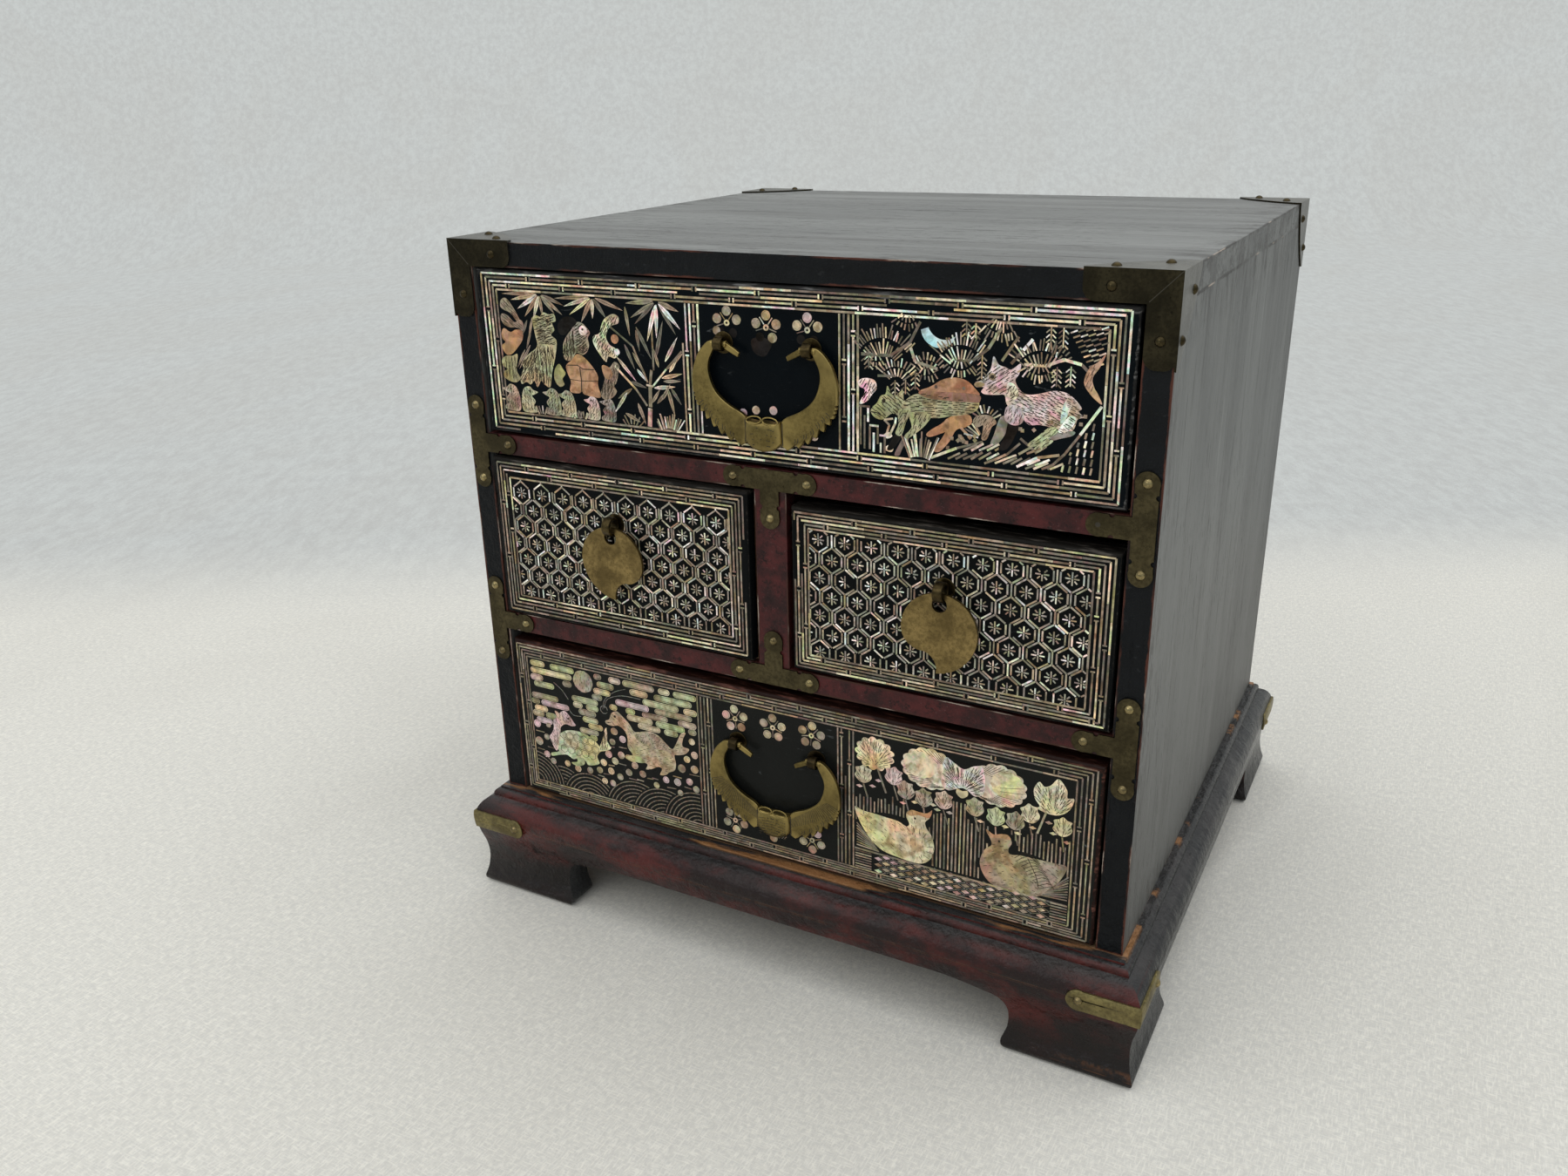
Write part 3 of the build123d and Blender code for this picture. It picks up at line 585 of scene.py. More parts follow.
# Ornament is drawn in millimetres on an upright face: x to the right, z up from the case's foot.
CASE_FOOT = 58.0
# the y of the faces that ornament lies on
TOP_FACE = -152.15
LEFT_FACE = -154.75
RIGHT_FACE = -153.25
BOTTOM_FACE = -153.25
BRACKET_FACE = -152.65
# how far the layers of shell and what is cut into them stand out
SHELL_PROUD = 0.10
SHELL_SUNK = 0.06
SECOND_LAYER = 0.16
PATH_LAYER = 0.03
CUT_LEVEL = 0.05
UNEVEN = 0.03
# widths of strips, and the gap and half length of the short bars across a broken line
STRIP = 0.88
FINE_STRIP = 0.62
NEEDLE = 0.58
SHORT_BAR = 0.7
BAR_GAP = 1.9
BAR_HALF = 0.95
STRIP_GAP = 0.12
LOST_STRIPS = 0.012
# places along a leaf, and the share of its width there
LANCE = ((0, 0.15), (0.18, 0.75), (0.38, 1.0), (0.65, 0.72), (0.88, 0.28))
# the painted glint that marks a filled line, and that of a dark plate, which the material leaves dull;
# above 0 a painted glint is a piece's share of painted highlight and iridescent reflection
FILLED = -1.0
DARK = -0.2


def lerp(a, b, t):
    return (a[0] + (b[0] - a[0]) * t, a[1] + (b[1] - a[1]) * t)


def polar(centre, radius, degrees):
    angle = math.radians(degrees)
    return (centre[0] + radius * math.cos(angle), centre[1] + radius * math.sin(angle))


def sides_of(outline):
    """The pairs of neighbouring points round a closed outline."""
    return list(zip(outline, outline[1:] + outline[:1]))


def anticlockwise(outline):
    return sum(a[0] * b[1] - b[0] * a[1] for a, b in sides_of(outline)) > 0


def smooth(points, closed=True, fine=4):
    """A Catmull-Rom curve through the points."""
    count = len(points)
    out = []
    for k in range(count if closed else count - 1):
        at = [(k + j - 1) % count if closed else min(max(k + j - 1, 0), count - 1) for j in range(4)]
        a, b, c, d = (points[i] for i in at)
        for step in range(fine):
            t = step / fine
            out.append(tuple(
                0.5 * (2 * q + (r - p) * t + (2 * p - 5 * q + 4 * r - s) * t * t
                       + (3 * q - p - 3 * r + s) * t ** 3)
                for p, q, r, s in zip(a, b, c, d)))
    if not closed:
        out.append(points[-1])
    return out


def moved(points, dx=0.0, dz=0.0, turn=0.0, size=1.0, mirror=False):
    """Points turned about the origin by degrees, scaled and moved."""
    c, s = math.cos(math.radians(turn)), math.sin(math.radians(turn))
    flip = -1 if mirror else 1
    return [(dx + size * (flip * x * c - z * s), dz + size * (flip * x * s + z * c)) for x, z in points]


def inside(point, outline):
    x, z = point
    hit = False
    for (x0, z0), (x1, z1) in sides_of(outline):
        if (z0 > z) != (z1 > z) and x < x0 + (z - z0) * (x1 - x0) / (z1 - z0):
            hit = not hit
    return hit


def clipped(a, b, low, high):
    """The part of segment a-b inside a rectangle, or None."""
    start, stop = 0.0, 1.0
    for axis in (0, 1):
        run = b[axis] - a[axis]
        for limit, sign in ((low[axis], 1), (high[axis], -1)):
            room = (a[axis] - limit) * sign
            slope = run * sign
            if abs(slope) < 1e-9:
                if room < 0:
                    return None
            elif slope > 0:
                start = max(start, -room / slope)
            else:
                stop = min(stop, room / -slope)
    if stop - start < 0.08:
        return None
    return lerp(a, b, start), lerp(a, b, stop)


def layer_top(level):
    """How far a plate stands out of the face: level 0 lies in the lacquer, 1 on that, 2 on top."""
    return SHELL_PROUD + level * (SECOND_LAYER - SHELL_PROUD)


class Inlay:
    """Thin closed pieces on one upright face, such as the shell in a drawer front, as a single mesh."""

    def __init__(self, body, face, origin=(0.0, CASE_FOOT), name=None, glow=1.0, strip=STRIP):
        self.body = body
        self.glow = glow
        self.strip = strip
        self.name = name or f"{body}_inlay"
        self.face = face
        self.origin = origin
        self.verts = []
        self.faces = []
        self.tints = []
        self.seeds = []

    def prism(self, outline, tint, top=SHELL_PROUD, painted_glint=0.0):
        """A closed thin plate with the given outline, standing top mm out of the face."""
        top += random.uniform(0, UNEVEN)
        count = len(outline)
        base = len(self.verts)
        left, foot = self.origin
        for depth in (-top, SHELL_SUNK):
            self.verts += [((x + left) * MM, (self.face + depth) * MM, (z + foot) * MM) for x, z in outline]
        ring = list(range(count)) if anticlockwise(outline) else list(range(count - 1, -1, -1))
        self.faces.append([base + k for k in ring])
        self.faces.append([base + count + k for k in reversed(ring)])
        for a, b in sides_of(ring):
            self.faces.append([base + b, base + a, base + count + a, base + count + b])
        seed = [random.uniform(0, 40) for _ in range(3)]
        if sum(tint) < 0.15 and painted_glint > FILLED:
            painted_glint = DARK
        # the alpha holds the painted glint: the share of painted highlight and iridescent reflection, or a
        # mark
        self.tints += [(*tint, painted_glint)] * (count + 2)
        self.seeds += [seed] * (count + 2)

    def plate(self, tint, outline, level=0, painted_glint=0.0, round_off=True):
        """A cut-out plate of shell, with a slightly uneven colour of its own."""
        shape = smooth(outline) if round_off else list(outline)
        self.prism(shape, vary(tint, 0.12), layer_top(level), painted_glint)
        return shape

    def disc(self, centre, radius, tint, level=0, sides=16, painted_glint=0.0):
        shape = [polar(centre, radius * random.uniform(0.97, 1.03), 360 * k / sides) for k in range(sides)]
        self.prism(shape, vary(tint, 0.1), layer_top(level), painted_glint)
        return shape

    def eye(self, centre, radius, sides=8):
        self.disc(centre, radius, ENGRAVED, 2, sides, FILLED)

    def bar(self, a, b, width, tint=None, top=SHELL_PROUD, painted_glint=None):
        """One straight strip of shell."""
        dx, dz = b[0] - a[0], b[1] - a[1]
        length = math.hypot(dx, dz)
        if length < 0.15:
            return
        half = width / 2 * random.uniform(0.88, 1.12)
        nx, nz = -dz / length * half, dx / length * half
        colour, bright = strip_tint(self.glow)
        corners = [(x + way * nx, z + way * nz) for (x, z), way in ((a, 1), (a, -1), (b, -1), (b, 1))]
        self.prism(corners, tint or colour, top, bright if painted_glint is None else painted_glint)

    def run(self, a, b, width=None, piece=24.0):
        """A long straight line, laid as several strips end to end."""
        width = width or self.strip
        length = math.dist(a, b)
        at = 0.0
        while at < length - 0.3:
            stop = min(length, at + piece * random.uniform(0.45, 1.3))
            if length - stop < 3:
                stop = length
            if random.random() > LOST_STRIPS:
                self.bar(lerp(a, b, at / length), lerp(a, b, (stop - STRIP_GAP) / length), width)
            at = stop

    def broken(self, a, b, joints):
        """A line broken at joints, given in mm from a, with a short bar across each broken end."""
        length = math.dist(a, b)
        along = ((b[0] - a[0]) / length, (b[1] - a[1]) / length)
        reach = (-along[1] * BAR_HALF, along[0] * BAR_HALF)
        at = 0.0
        for joint in [j for j in joints if 2 < j < length - 2] + [None]:
            stop = length if joint is None else joint - BAR_GAP / 2
            self.run(lerp(a, b, at / length), lerp(a, b, stop / length), None, 32)
            if joint is None:
                return
            for end in (stop, joint + BAR_GAP / 2):
                x, z = lerp(a, b, end / length)
                self.bar((x - reach[0], z - reach[1]), (x + reach[0], z + reach[1]), SHORT_BAR)
            at = joint + BAR_GAP / 2

    def path(self, points, width=1.0, tint=None, level=0):
        """A bent branch or line, as a strip for each straight part."""
        for a, b in zip(points, points[1:]):
            self.bar(a, b, width, tint, SHELL_PROUD + PATH_LAYER * level)

    def leaf(self, base, tip, width=2.2):
        """A lance-shaped leaf with a cut down its middle."""
        dx, dz = tip[0] - base[0], tip[1] - base[1]
        length = math.hypot(dx, dz)
        across = (-dz / length, dx / length)
        half = [(t, w * width / 2) for t, w in LANCE]
        points = half + [(1, 0)] + [(t, -w) for t, w in reversed(half)]
        outline = [(base[0] + dx * t + across[0] * w, base[1] + dz * t + across[1] * w) for t, w in points]
        colour, bright = strip_tint(self.glow * 0.93)
        self.prism(outline, colour, painted_glint=bright)
        self.cut([lerp(base, tip, 0.1), lerp(base, tip, 0.85)], 0.16)

    def engrave(self, points, width=0.28, proud=0.0):
        """A dark line on a metal face, or on a surface that stands proud of it."""
        for a, b in zip(points, points[1:]):
            self.bar(a, b, width, ENGRAVED, proud + CUT_LEVEL, FILLED)

    def cut(self, points, width=0.28, level=0):
        """An engraved line, dark with filling, in the surface of a plate."""
        self.engrave(points, width, layer_top(level))

    def strokes(self, outline, heading, spacing=1.3, length=2.6, width=0.2, level=0, curve=0.0):
        """Short engraved strokes all over a plate, such as fur or feathers."""
        xs = [p[0] for p in outline]
        zs = [p[1] for p in outline]
        z = min(zs)
        row = 0
        while z < max(zs):
            x = min(xs) + (row % 2) * spacing / 2
            while x < max(xs):
                at = (x + random.uniform(-0.25, 0.25) * spacing, z + random.uniform(-0.25, 0.25) * spacing)
                turn = heading(at) if callable(heading) else heading
                reach = length * random.uniform(0.6, 1.1)
                mid = polar(at, reach / 2, turn)
                end = polar(mid, reach / 2, turn + curve)
                if inside(at, outline) and inside(end, outline):
                    self.cut([at, mid, end] if curve else [at, end], width, level)
                x += spacing * 1.6
            z += spacing * 0.62
            row += 1

    def build(self, material=None, slot="mother_of_pearl"):
        mesh = bpy.data.meshes.new(self.name)
        mesh.from_pydata(self.verts, [], self.faces)
        tint = mesh.attributes.new("tint", "FLOAT_COLOR", "FACE")
        tint.data.foreach_set("color", [c for colour in self.tints for c in colour])
        seed = mesh.attributes.new("seed", "FLOAT_VECTOR", "FACE")
        seed.data.foreach_set("vector", [c for value in self.seeds for c in value])
        mesh.materials.append(material or shell)
        piece = added(self.name, mesh)
        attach(piece, self.body)


def vary(tint, amount):
    light = random.uniform(1 - amount, 1 + amount)
    return tuple(min(1.0, c * light * random.uniform(1 - amount / 3, 1 + amount / 3)) for c in tint)


def strip_tint(glow):
    """Colour and painted glint of a narrow strip: most are dull, and more glow paints more glints."""
    pick = random.random() * glow
    if pick < 0.34:
        return vary(DULL, 0.30), 0.0
    if pick < 0.66:
        return vary(TAN, 0.30), 0.05
    if pick < 0.82:
        return vary(CREAM, 0.25), 0.4
    return vary(random.choice((PINK, GREEN, PALE, PALE)), 0.2), random.uniform(0.6, 1.0)


def shell_material():
    """Shell in the colour of a piece's tint, with painted iridescence and highlight by the tint's alpha."""
    m = Material("mother_of_pearl")
    tint = m.node("ShaderNodeAttribute", attribute_name="tint").outputs
    seed = m.node("ShaderNodeAttribute", attribute_name="seed").outputs["Vector"]
    where = m.node("ShaderNodeVectorMath", {0: m.place, 1: seed}, operation="ADD").outputs[0]
    painted_glint = tint["Alpha"]
    bands = m.noise(95, 3, 0.5, where=where, warp=1.2)
    fine = m.noise(230, 3, 0.6, where=where, warp=0.6)
    # painted reflection: the colours shell shows at the angle of the light, laid into its base colour
    painted_iridescence = m.steps(bands, (0.32, (0.85, 0.36, 0.55)), (0.41, (0.80, 0.66, 0.55)), (0.50, (0.95, 0.88, 0.90)),
                  (0.56, (0.50, 0.76, 0.52)), (0.61, (0.50, 0.80, 0.84)), (0.68, (0.95, 0.68, 0.82)))
    colour = m.mix(m.maths("ADD", 0.10, m.times(painted_glint, 0.62), clamp=True), tint["Color"], painted_iridescence)
    for scale, detail, rough, warp, tone in ((60, 2, 0.5, 0.8, (1.12, 0.92, 0.84)),
                                             (45, 2, 0.5, 0.8, (0.96, 1.02, 0.76)),
                                             (140, 3, 0.6, 0.0, (0.62, 0.56, 0.48))):
        patches = m.between(m.noise(scale, detail, rough, where=where, warp=warp), 0.50, 0.64)
        colour = m.mix(patches, colour, m.mix(1.0, colour, tone, "MULTIPLY"))
    shade = m.plus(0.72, m.times(m.between(fine, 0.32, 0.70), 0.62))
    # painted highlight: pieces with a larger painted glint are made brighter
    lit = m.times(shade, m.plus(1.0, m.times(painted_glint, 0.45)))
    grey = m.node("ShaderNodeCombineXYZ", {"X": lit, "Y": lit, "Z": lit}).outputs[0]
    filled = m.between(painted_glint, -0.4, -0.6)
    colour = m.mix(filled, m.mix(1.0, colour, grey, "MULTIPLY"), ENGRAVED)
    rough = m.plus(0.26, m.times(filled, 0.4))
    gloss = m.plus(0.06, m.times(m.between(painted_glint, -0.15, -0.05), 0.36))
    m.bump((fine, 0.00008, 0.5), (bands, 0.0002, 0.3))
    return m.set(Base_Color=colour, Roughness=rough, Specular_IOR_Level=gloss)


shell = shell_material()


def joints(first, pitch, count):
    """Places along a line, a pitch apart but not quite even."""
    return [first + pitch * k + random.uniform(-0.8, 0.8) for k in range(count)]


def border(inlay, left, right, top, bottom, across, upright):
    """Five nested lines: outer, broken, middle, broken, inner. The broken ones look like laid bricks.

    left, right, top and bottom hold the places of the five lines; across and upright the places of the
    joints as (line, side, list of x or z).
    """
    for k in range(5):
        corners = [(left[k], top[k]), (right[k], top[k]), (right[k], bottom[k]), (left[k], bottom[k])]
        for side, (a, b) in enumerate(sides_of(corners)):
            if k % 2 == 0:
                inlay.run(a, b)
                continue
            table, axis = (across, 0) if side % 2 == 0 else (upright, 1)
            inlay.broken(a, b, sorted(abs(v - a[axis]) for v in table[(k, side)]))


def band(inlay, xs, low, high, first, pitch):
    """A vertical divider of five lines between two fields."""
    for k, x in enumerate(xs):
        if k % 2 == 0:
            inlay.run((x, low), (x, high), None, 40)
        else:
            places = [z - low for z in (first + pitch * j + (pitch / 2 if k == 3 else 0) for j in range(4))]
            inlay.broken((x, low), (x, high), places)


PETAL_REACH = 5.1
PETAL = 2.15


def blossom(inlay, centre, turn=90, missing=()):
    """A plum blossom: five round petals, a small centre and thin stamens between the petals."""
    for k in range(5):
        at = polar(centre, PETAL_REACH, turn + 72 * k)
        if k in missing:
            inlay.disc(at, PETAL * 0.95, SMOKE)
            continue
        inlay.disc(at, PETAL, random.choice((ORANGE_CREAM, PINK, TAN, TAN, CREAM)), sides=18, painted_glint=0.12)
        inlay.path([polar(at, PETAL * 0.75, 20 * j) for j in range(19)], 0.12, (0.12, 0.09, 0.06), level=1)
        inlay.bar(polar(centre, 1.6, turn + 72 * k + 36), polar(centre, 5.2, turn + 72 * k + 36), 0.42)
    inlay.disc(centre, 1.35, CREAM, level=1, painted_glint=0.3)
    inlay.disc(centre, 0.5, SMOKE, level=2)


def fan(inlay, centre, inner, outer, start, stop, count, width=FINE_STRIP):
    """Pine needles or grass: strips radiating from a point."""
    for k in range(count):
        turn = start + (stop - start) * k / max(1, count - 1)
        reach = outer * random.uniform(0.85, 1.05)
        inlay.bar(polar(centre, inner, turn), polar(centre, reach, turn + random.uniform(-3, 3)), width)


def pine(inlay, centre, radius, start, stop):
    """A clump of needles in two dense rings about a point well behind the clump's foot."""
    middle = (start + stop) / 2
    half = (stop - start) * 0.34
    root = polar(centre, -0.55 * radius, middle)
    for near, far in ((0.50, 0.98), (1.02, 1.52)):
        count = max(4, int(math.radians(2 * half) * far * radius / 1.62))
        fan(inlay, root, radius * near, radius * far, middle - half, middle + half, count, NEEDLE)


def droop(inlay, x, high, count):
    """A hanging spray of short needles in pairs."""
    inlay.bar((x, high), (x, high - count * 1.9), 0.5)
    for k in range(count):
        z = high - 1.0 - 1.9 * k
        for side in (-1, 1):
            inlay.bar((x + side * 0.5, z), (x + side * 1.9, z - 1.3), 0.5)


# -------------------------------------------------- top drawer: beasts, bamboo, deer and pines

BIRD = [(-3.8, 0.2), (3.6, 0), (4.9, 3.5), (4.4, 8.2), (2.6, 11.8), (-0.6, 12.8), (-2.8, 11.2), (-5.6, 10.4),
    (-3.2, 9.0), (-1.6, 8.2), (-3.6, 5.8), (-2.6, 3.6), (-4.6, 2.0)]
PEBBLE = [(-0.7, -0.7), (0.7, -0.7), (0.7, 0.7), (-0.7, 0.7)]
BIRD_FOOT = 213


def bird(inlay, x, z, tint, size=1.0, mirror=False):
    shape = inlay.plate(tint, moved(BIRD, x, z, size=size, mirror=mirror), painted_glint=0.25)
    inlay.strokes(shape, -70 if mirror else -110, 1.1, 1.6, 0.22)
    side = -1 if mirror else 1
    inlay.eye((x - side * 0.6 * size, z + 10.6 * size), 0.45)


def top_left_field(inlay):
    sprays = (
        ((-119, 269.6),
         ((-141, 268.6), (-136, 266), (-132.5, 262), (-128.5, 258.6), (-123.4, 258), (-118, 259), (-111, 261),
          (-106.5, 260.6), (-105.5, 265))),
        ((-89, 269.8),
         ((-110.5, 268), (-105.5, 264.6), (-102.5, 261), (-96, 258), (-89.5, 260), (-82, 260.6),
          (-72.6, 264.6))),
        ((-54.5, 269.8),
         ((-71, 268), (-68.8, 261.6), (-66.6, 259), (-60.4, 251.6), (-55.3, 253.4), (-45, 255.6),
          (-42.6, 258.2), (-43, 265.8))),
    )
    for base, tips in sprays:
        for tip in tips:
            inlay.leaf(lerp(base, tip, 0.10), tip, random.uniform(1.7, 2.4))
    # a lobed rock like coral at the left edge
    horn = inlay.plate(TAN, [(-142.6, 262.6), (-141.8, 265.6), (-139, 266.6), (-135.6, 263.4),
        (-132.4, 258.2), (-131.6, 256), (-133.6, 256.4), (-137, 259.8), (-140.4, 261)])
    inlay.strokes(horn, -50, 1.2, 3.0)
    lobe = inlay.plate(TAN, [(-143, 257.2), (-142, 259.2), (-138.6, 258.4), (-135, 255.6), (-131.6, 257),
        (-129.8, 255), (-130.6, 251.8), (-134, 253.2), (-138, 253), (-141.6, 254.4)])
    inlay.strokes(lobe, -30, 1.2, 3.0)
    inlay.plate(ORANGE, [(-143.4, 250.2), (-141.6, 252.4), (-138, 250.8), (-134.4, 252.2), (-130.6, 251.6),
        (-131.2, 247.6), (-134.2, 244), (-138, 240.6), (-141, 239.8), (-143, 241.4), (-144, 244),
        (-141.6, 245.8), (-143.2, 247.6)])
    foot = inlay.plate(OLIVE, [(-144.6, 237.4), (-142, 239.2), (-138, 239.6), (-135, 240.6), (-135.8, 236),
        (-136.4, 232.6), (-134.6, 229), (-137.6, 226.8), (-142, 227.6), (-144.6, 229.4), (-143.8, 231.8),
        (-141.8, 233), (-144.6, 234.6)])
    inlay.strokes(foot, 80, 1.2, 3.2)
    for a, b in (((-127.4, 257), (-131, 249.4)), ((-124.2, 258.4), (-127.6, 247)),
            ((-126.8, 245.4), (-134.6, 233.4)), ((-130.2, 243), (-135.6, 234)),
            ((-125.8, 252), (-129.2, 243.4))):
        inlay.leaf(a, b, 1.3)
    # the tall scaled beast
    beast = inlay.plate(OLIVE, [(-124.2, 257.6), (-122.6, 259.6), (-119.6, 259.2), (-117.6, 261.2),
        (-114.2, 260.4), (-111.4, 260.8), (-110.6, 257.8), (-112.8, 256.4), (-111.8, 253.4), (-114, 251),
        (-111.2, 248.8), (-111.6, 244.6), (-113.2, 239), (-115.4, 233), (-117, 226.4), (-120.4, 227.4),
        (-122.2, 229), (-124.6, 225.6), (-126.2, 228.6), (-128.6, 226.6), (-131, 227.6), (-134, 226.4),
        (-134.4, 229.6), (-132.2, 233.8), (-132.4, 237), (-128, 241.2), (-122.8, 245), (-123.2, 250),
        (-123.8, 253.6)], painted_glint=0.2)
    inlay.strokes(beast, lambda p: 8 if p[1] > 246 else -118 + (p[0] + 125) * 2.5, 1.25, 3.4, 0.34, curve=14)
    inlay.eye((-115.4, 257.2), 0.8, 10)
    inlay.plate(OLIVE, [(-114, 230), (-113.6, 234.6), (-110.8, 237.8), (-108.6, 235.4), (-107.4, 233.4),
        (-109.4, 230.8), (-108.6, 228.2), (-111.4, 227)])
    # the second beast, with a rosy head and a broad amber flank
    inlay.plate(SMOKE, [(-109, 252), (-109.6, 256), (-106, 259.6), (-101, 260), (-98.6, 257.6), (-103, 254),
        (-106, 251.6)])
    neck = inlay.plate(TAN, [(-107.2, 240.6), (-107.4, 247), (-104.6, 251.6), (-101.8, 254.4), (-99.2, 257.6),
        (-96, 257.8), (-93.2, 255.6), (-91.6, 253.4), (-93, 251), (-92.6, 247.6), (-94.2, 244.4), (-97, 243),
        (-100.2, 243.8), (-103.4, 240)], painted_glint=0.15)
    inlay.strokes(neck, lambda p: 20 if p[0] > -101 else 70, 1.15, 3.2, 0.32, curve=12)
    inlay.disc((-95.4, 254.2), 2.3, PINK, level=1, painted_glint=0.9)
    inlay.eye((-95.6, 254.8), 0.6)
    inlay.plate(ORANGE, [(-106.6, 237.4), (-103, 240.2), (-100.4, 243), (-97.4, 242.8), (-94, 240.4),
        (-90.6, 236.8), (-88.8, 233.6), (-89.2, 229.6), (-88, 224.2), (-92, 223.8), (-97.4, 224.6),
        (-98.6, 226), (-100.4, 224.8), (-105.4, 225.2), (-104.6, 230), (-106.2, 234)])
    inlay.cut([(-106, 237.6), (-100, 238), (-97, 236.4), (-90.8, 236.6)], 0.4)
    inlay.cut([(-98.8, 237), (-98.4, 231), (-98.8, 225.8)], 0.5)
    inlay.cut([(-105.2, 231), (-98.6, 230.8), (-89, 231.4)], 0.3)
    # a twisted pale rock
    rock = inlay.plate(GREEN, [(-81, 261.6), (-78, 262.8), (-75.2, 261.6), (-75.6, 258.8), (-79, 257.6),
        (-81.6, 255.4), (-82.8, 252), (-81, 248.8), (-78, 247.4), (-76.4, 245.2), (-78.6, 242.8),
        (-81.8, 243.4), (-83.6, 240.8), (-86.6, 243.6), (-90, 248.8), (-89.6, 252.2), (-86.4, 253.6),
        (-85, 257), (-83.4, 259.8)], painted_glint=0.55)
    inlay.strokes(rock, 60, 1.3, 2.6, 0.34)
    inlay.disc((-78, 251.6), 2.1, ORANGE)
    inlay.disc((-77.2, 245.8), 1.5, PINK, level=1, painted_glint=0.9)
    stump = inlay.plate(TAN, [(-86, 239), (-82, 238.4), (-79, 241.2), (-76.4, 239.4), (-77.4, 235.6),
        (-78.8, 231.4), (-80.2, 230), (-78.8, 227.4), (-81.8, 224.2), (-86, 223.2), (-88, 225.4),
        (-86.4, 229.4), (-85, 233.2), (-86, 236)])
    inlay.strokes(stump, 70, 1.2, 3.0)
    inlay.plate(ORANGE, [(-86, 239), (-82, 238.2), (-80.4, 235.4), (-82.4, 232.8), (-85.2, 234)], level=1)
    for x, tint, mirror, size in ((-140.6, TAN, False, 1.0), (-130.2, OLIVE, True, 0.98),
            (-116.4, TAN, False, 1.0), (-107.6, OLIVE, False, 0.98), (-93.2, PINK, False, 0.86),
            (-84.2, BROWN, False, 0.86)):
        bird(inlay, x, BIRD_FOOT, tint, size, mirror)
    # bamboo
    inlay.path([(-61.6, 212.8), (-60.8, 221.4)], 2.2, TAN)
    inlay.path([(-60.6, 222), (-60.2, 231.4)], 1.9, TAN)
    inlay.path([(-60.2, 232.2), (-59, 239)], 1.3, TAN)
    inlay.bar((-62.2, 232), (-58.4, 231.6), 0.9)
    for points in (((-80.2, 257), (-68.4, 249), (-61.4, 233.2)), ((-79, 239.4), (-68, 229.6), (-62.4, 222.4)),
            ((-57.8, 239), (-57.6, 258.6)), ((-58.4, 232), (-51, 240), (-42.4, 248.6))):
        inlay.path(points, 0.9)
    leaves = (((-71.4, 266.4), (-69.6, 253.6)), ((-66, 257.8), (-58.6, 243.8)),
        ((-66.2, 256.4), (-64.8, 246.8)), ((-72.8, 249.6), (-68, 238.6)), ((-77.4, 243.4), (-67.6, 233.2)),
        ((-70.6, 232.8), (-62, 230.6)), ((-68.6, 246.2), (-62.2, 236.4)), ((-66.8, 238.8), (-61.8, 233.6)),
        ((-55, 240.6), (-57.2, 248.6)), ((-56.4, 244.4), (-51.6, 261.4)), ((-51.4, 243.4), (-44.4, 254.6)),
        ((-50.4, 240.2), (-41.6, 248)), ((-53.6, 235.8), (-42.6, 238.6)), ((-52.8, 234.4), (-43.4, 235.2)),
        ((-58, 231), (-46.6, 232.4)), ((-53.8, 226), (-49.4, 233.4)), ((-50.8, 231.4), (-47.6, 219)),
        ((-49, 231.6), (-43.8, 224.4)), ((-56.8, 224), (-50.6, 230.6)), ((-70.2, 229.6), (-78.4, 224.2)),
        ((-73, 227.6), (-80.6, 217.4)), ((-67.4, 223.2), (-63.6, 213.6)), ((-74.6, 217.8), (-66.6, 214.4)),
        ((-59.6, 224), (-54.8, 230.8)), ((-49.4, 238.8), (-45, 245.2)))
    for base, tip in leaves:
        inlay.leaf(base, tip, random.uniform(1.5, 2.1))
    fan(inlay, (-51, 205), 8, 14.5, 58, 124, 15)
    fan(inlay, (-71, 208), 5, 9.5, 50, 130, 6)
    for x in (-123, -102, -99):
        fan(inlay, (x, 209), 4, 8, 70, 118, 4)


